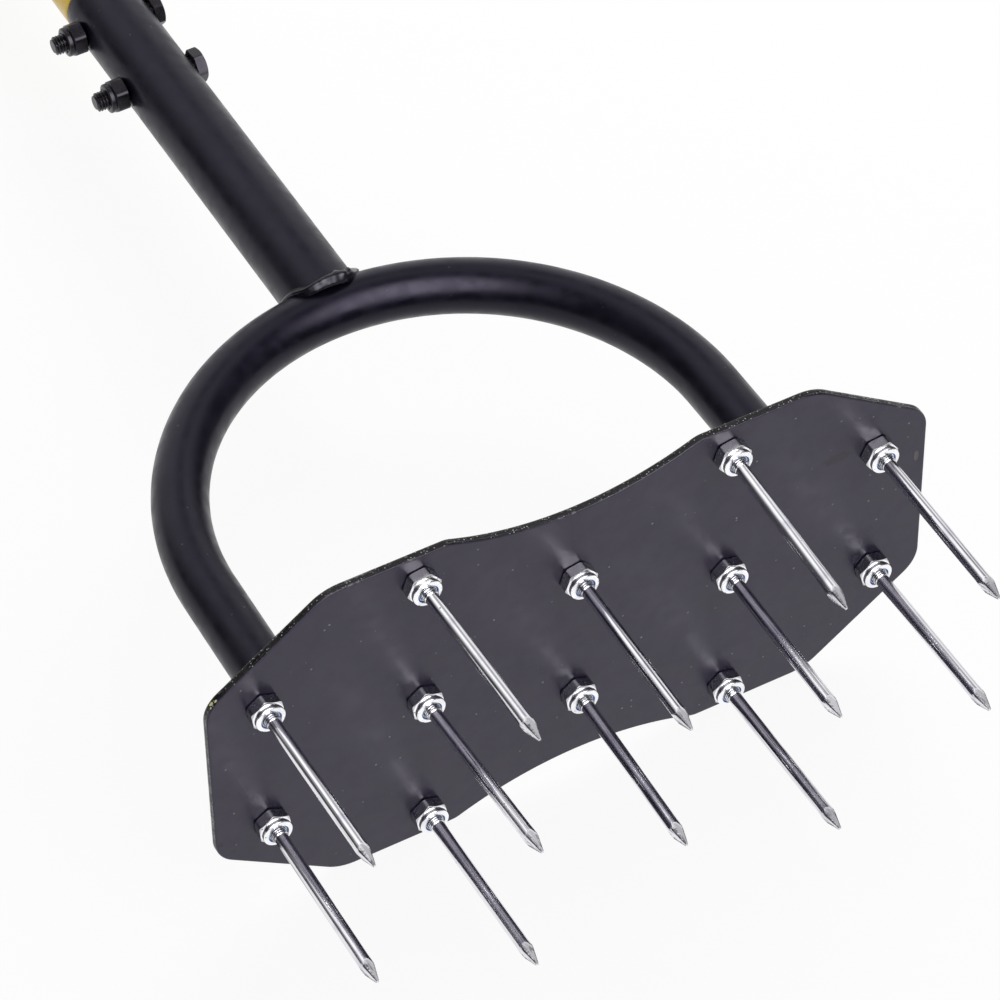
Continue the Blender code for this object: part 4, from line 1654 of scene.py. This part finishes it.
@dataclass
class Handle:
    """The cross bar and the two ribbed grips over its ends."""

    height: float = 0.8806
    radius: float = 0.0127
    wall: float = 0.0016
    half_length: float = 0.1404
    end_bevel: float = 0.0003
    grip_mouth: float = 0.0337
    grip_length: float = 0.1120
    grip_wall: float = 0.0034
    grip_end: float = 0.0050
    end_round: float = 0.0035
    band: float = 0.0180
    ribs: int = 5
    rib_steps: int = 16
    rib_height: float = 0.0011
    flange: float = 0.0030
    clearance: float = 0.0003
    sides: int = 72

    def build_bar(self) -> Piece:
        """Builds the hollow bar.

        Returns:
            The bar.
        """
        half, bore, bevel = self.half_length, self.radius - self.wall, self.end_bevel
        corners = ((self.radius, half), (self.radius, -half), (bore, -half), (bore, half))
        section = softened([(*corner, bevel) for corner in corners])
        placing = Matrix.Translation((0.0, 0.0, self.height)) @ TO_RIGHT
        return turned_piece("handle_bar_detail", lambda angle: section, self.sides, True, placing)

    def grip_section(self) -> Profile:
        """Draws a grip.

        Returns:
            The half section, from its closed end to its mouth and back inside.
        """
        bore = self.radius + self.clearance
        outside = bore + self.grip_wall
        length, flange = self.grip_length, self.flange
        pitch = (length - 2 * self.band) / self.ribs
        end = unworn((0.0, length + 0.0004), (outside * 0.5, length + 0.0002))
        end += quarter(outside - self.end_round, length - self.end_round, self.end_round, self.end_round, 6)
        ribs = []
        for step in range(self.ribs * self.rib_steps + 1):
            share = step / self.rib_steps
            swell = (0.5 - 0.5 * math.cos(math.tau * share)) ** 0.75
            ribs.append((outside + self.rib_height * swell, length - self.band - share * pitch))
        mouth = [
            (outside, flange * 3.0),
            (outside + 0.0004, flange * 2.0),
            (outside + flange * 0.55, flange * 1.25),
            (outside + flange - 0.0004, flange * 0.95),
            (outside + flange, flange * 0.70),
            (outside + flange, flange * 0.25),
            (outside + flange - 0.0006, 0.0),
            (bore + 0.0005, 0.0),
            (bore, 0.0005),
            (bore, length - self.grip_end),
            (0.0, length - self.grip_end),
        ]
        return end + unworn(*ribs, *mouth)

    def build_grip(self, side: Side) -> Piece:
        """Builds the grip on one side.

        Args:
            side: The side.

        Returns:
            The grip.
        """
        section = self.grip_section()
        place = Matrix.Translation((side.value * self.grip_mouth, 0.0, self.height))
        placing = place @ Matrix.Rotation(side.value * math.pi / 2, 4, "Y")
        name = f"grip_{side.name.lower()}_detail"
        return turned_piece(name, lambda angle: section, self.sides, False, placing, 50.0)

    def dress(self, dresser: Dresser) -> None:
        """Builds and dresses the bar and both grips.

        Args:
            dresser: Gives them their finishes.
        """
        dresser.dress(self.build_bar(), "handle_bar", Slot.YELLOW_PAINT, YELLOW)
        for side in Side:
            dresser.dress(self.build_grip(side), f"grip_{side.name.lower()}", Slot.RUBBER, RUBBER)


# Stage, light and camera


@dataclass
class Lamp:
    """A soft square lamp that points at the middle of the tool, and that gloss doesn't show."""

    name: str
    place: Colour
    size: float
    watts: float
    aim: Colour = (0.0, 0.0, 0.2)

    def build(self) -> None:
        """Adds the lamp."""
        data = bpy.data.lights.new(self.name, "AREA")
        data.size, data.energy = self.size, self.watts
        lamp = bpy.data.objects.new(self.name, data)
        lamp.location = self.place
        lamp.rotation_euler = (Vector(self.aim) - Vector(self.place)).to_track_quat("-Z", "Y").to_euler()
        lamp.visible_glossy = False
        bpy.context.scene.collection.objects.link(lamp)


@dataclass(frozen=True)
class Patch:
    """A soft patch of the room that only gloss shows, brighter or darker than the rest of it."""

    towards: Colour
    inner_degrees: float
    outer_degrees: float
    level: float

    def add_to(self, tree: Tree, direction: Socket, level: object) -> Socket:
        """Adds the patch's light to a level.

        Args:
            tree: The world's tree.
            direction: The direction that a ray takes.
            level: The level so far.

        Returns:
            The level with the patch.
        """
        aim = tuple(Vector(self.towards).normalized())
        facing = tree.vector("DOT_PRODUCT", direction, aim)["Value"]
        outer, inner = (math.cos(math.radians(edge)) for edge in (self.outer_degrees, self.inner_degrees))
        return tree.calc("MULTIPLY_ADD", tree.between(facing, outer, inner), self.level, level)


@dataclass
class Stage:
    """The floor under the upright tool, the table behind it, the lamps, the world and the camera."""

    table_at_plate: float = 0.0765
    table_at_handle: float = 0.0200
    plate_height: float = 0.0844
    handle_height: float = 0.8806
    reach: float = 4.0
    glow: float = 0.91
    ambient: float = 0.42
    room: float = 0.09
    patches: tuple[Patch, ...] = (
        Patch((0.20, -0.55, 0.80), 28.0, 60.0, 1.0),
        Patch((0.33, -0.73, 0.60), 6.0, 16.0, -0.65),
        Patch((-0.22, -0.77, 0.60), 6.0, 18.0, 0.25),
    )
    window: Patch = Patch((-0.06, -0.72, -0.69), 10.0, 28.0, 14.0)
    window_echo: Patch = Patch((-0.06, -0.72, -0.69), 8.0, 42.0, 6.6)
    lens: float = 190.734
    eye: Colour = (-0.636561, -1.458868, -1.038798)
    right: Colour = (0.874869, 0.010172, -0.484252)
    up: Colour = (0.360527, -0.681330, 0.637032)
    back: Colour = (-0.323456, -0.731906, -0.599742)
    lamps: tuple[Lamp, ...] = (
        Lamp("key", (0.80, -1.20, 0.95), 1.2, 17.0),
        Lamp("fill_left", (-1.50, 0.40, 1.10), 1.2, 5.0),
        Lamp("fill_low", (0.60, -1.00, -1.20), 1.0, 4.0),
    )

    def surface(self) -> Material:
        """Makes a white ground that shows from its front side, and is white wherever nothing shades it.

        Returns:
            Its material.
        """
        material = bpy.data.materials.new("white_ground")
        material.use_nodes = True
        material.node_tree.nodes.clear()
        tree = Tree(material.node_tree)
        path = tree.add("LightPath").outputs
        seen = tree.calc("MAXIMUM", path["Is Glossy Ray"], path["Is Transmission Ray"])
        share = tree.calc("MAXIMUM", tree.calc("MULTIPLY", path["Is Camera Ray"], self.glow), seen)
        white = {"Color": (1.0, 1.0, 1.0, 1.0)}
        matte = tree.add("BsdfDiffuse", white).outputs[0]
        shine = tree.add("Emission", {**white, "Strength": 1.0}).outputs[0]
        front = tree.add("MixShader", {0: share, 1: matte, 2: shine}).outputs[0]
        behind = tree.add("NewGeometry").outputs["Backfacing"]
        clear = tree.add("BsdfTransparent").outputs[0]
        shown = tree.add("MixShader", {0: behind, 1: front, 2: clear}).outputs[0]
        tree.add("OutputMaterial", {"Surface": shown})
        return material

    def sheet(self, name: str, corners: list[Colour], material: Material) -> Piece:
        """Adds one flat sheet of the stage.

        Args:
            name: The sheet's name.
            corners: Its corners, counterclockwise as its front shows them.
            material: Its material.

        Returns:
            The sheet.
        """
        mesh = bpy.data.meshes.new(name)
        mesh.from_pydata(corners, [], [(0, 1, 2, 3)])
        mesh.materials.append(material)
        sheet = new_piece(name, mesh)
        sheet.visible_shadow = sheet.visible_diffuse = False
        return sheet

    def build_ground(self) -> None:
        """Adds the floor, and the table as a steep sheet that the plate and handle lean against."""
        material = self.surface()
        far = self.reach
        floor = [(-far, -far, 0.0), (far, -far, 0.0), (far, far, 0.0), (-far, far, 0.0)]
        self.sheet("floor", floor, material).visible_glossy = False
        fall = (self.table_at_plate - self.table_at_handle) / (self.handle_height - self.plate_height)
        low = self.table_at_plate + fall * (self.plate_height + far)
        high = self.table_at_plate - fall * (far - self.plate_height)
        table = [(-far, low, -far), (far, low, -far), (far, high, far), (-far, high, far)]
        self.sheet("table", table, material)

    def build_world(self) -> None:
        """White to the camera, plain ambient light, and a room of light and dark for gloss."""
        world = bpy.data.worlds.new("studio")
        world.use_nodes = True
        bpy.context.scene.world = world
        world.node_tree.nodes.clear()
        tree = Tree(world.node_tree)
        path = tree.add("LightPath").outputs
        direction = tree.add("TexCoord").outputs["Generated"]
        level: object = self.room
        for patch in self.patches:
            level = patch.add_to(tree, direction, level)
        first, later = (patch.add_to(tree, direction, level) for patch in (self.window, self.window_echo))
        level = tree.between(path["Ray Depth"], 1.0, 2.0, first, later)
        behind = tree.add("SeparateXYZ", {0: direction}).outputs["Y"]
        white = (1.0, 1.0, 1.0)
        gloss = tree.mix(tree.between(behind, -0.05, 0.10), level, white)
        seen = tree.calc("MAXIMUM", path["Is Glossy Ray"], path["Is Transmission Ray"])
        colour = tree.mix(seen, (self.ambient, self.ambient, self.ambient), gloss)
        colour = tree.mix(path["Is Camera Ray"], colour, white)
        light = tree.add("Background", {"Color": colour, "Strength": 1.0})
        tree.add("OutputWorld", {"Surface": light.outputs[0]})

    def build_camera(self) -> None:
        """Adds the camera where the photograph was taken from."""
        data = bpy.data.cameras.new("photo_camera")
        data.sensor_width, data.lens, data.clip_end = 36.0, self.lens, 50.0
        camera = bpy.data.objects.new("photo_camera", data)
        turn = Matrix((self.right, self.up, self.back)).transposed().to_4x4()
        camera.matrix_world = Matrix.Translation(self.eye) @ turn
        bpy.context.scene.collection.objects.link(camera)
        bpy.context.scene.camera = camera

    def build(self) -> None:
        """Builds the whole stage."""
        self.build_ground()
        self.build_world()
        self.build_camera()
        for lamp in self.lamps:
            lamp.build()
        bpy.context.scene.view_settings.view_transform = "Standard"


def main() -> None:
    """Builds every sub-assembly in order, then the stage."""
    logging.basicConfig(level=logging.INFO, format="%(name)s: %(message)s")
    dresser = Dresser(Effects())
    plate, hoop = TinePlate(), Hoop()
    for part in (plate, SpikeSet(plate), hoop, Shafts(hoop), ShaftBolts(), Handle()):
        part.dress(dresser)
    Stage().build()


if __name__ == "__main__":
    main()
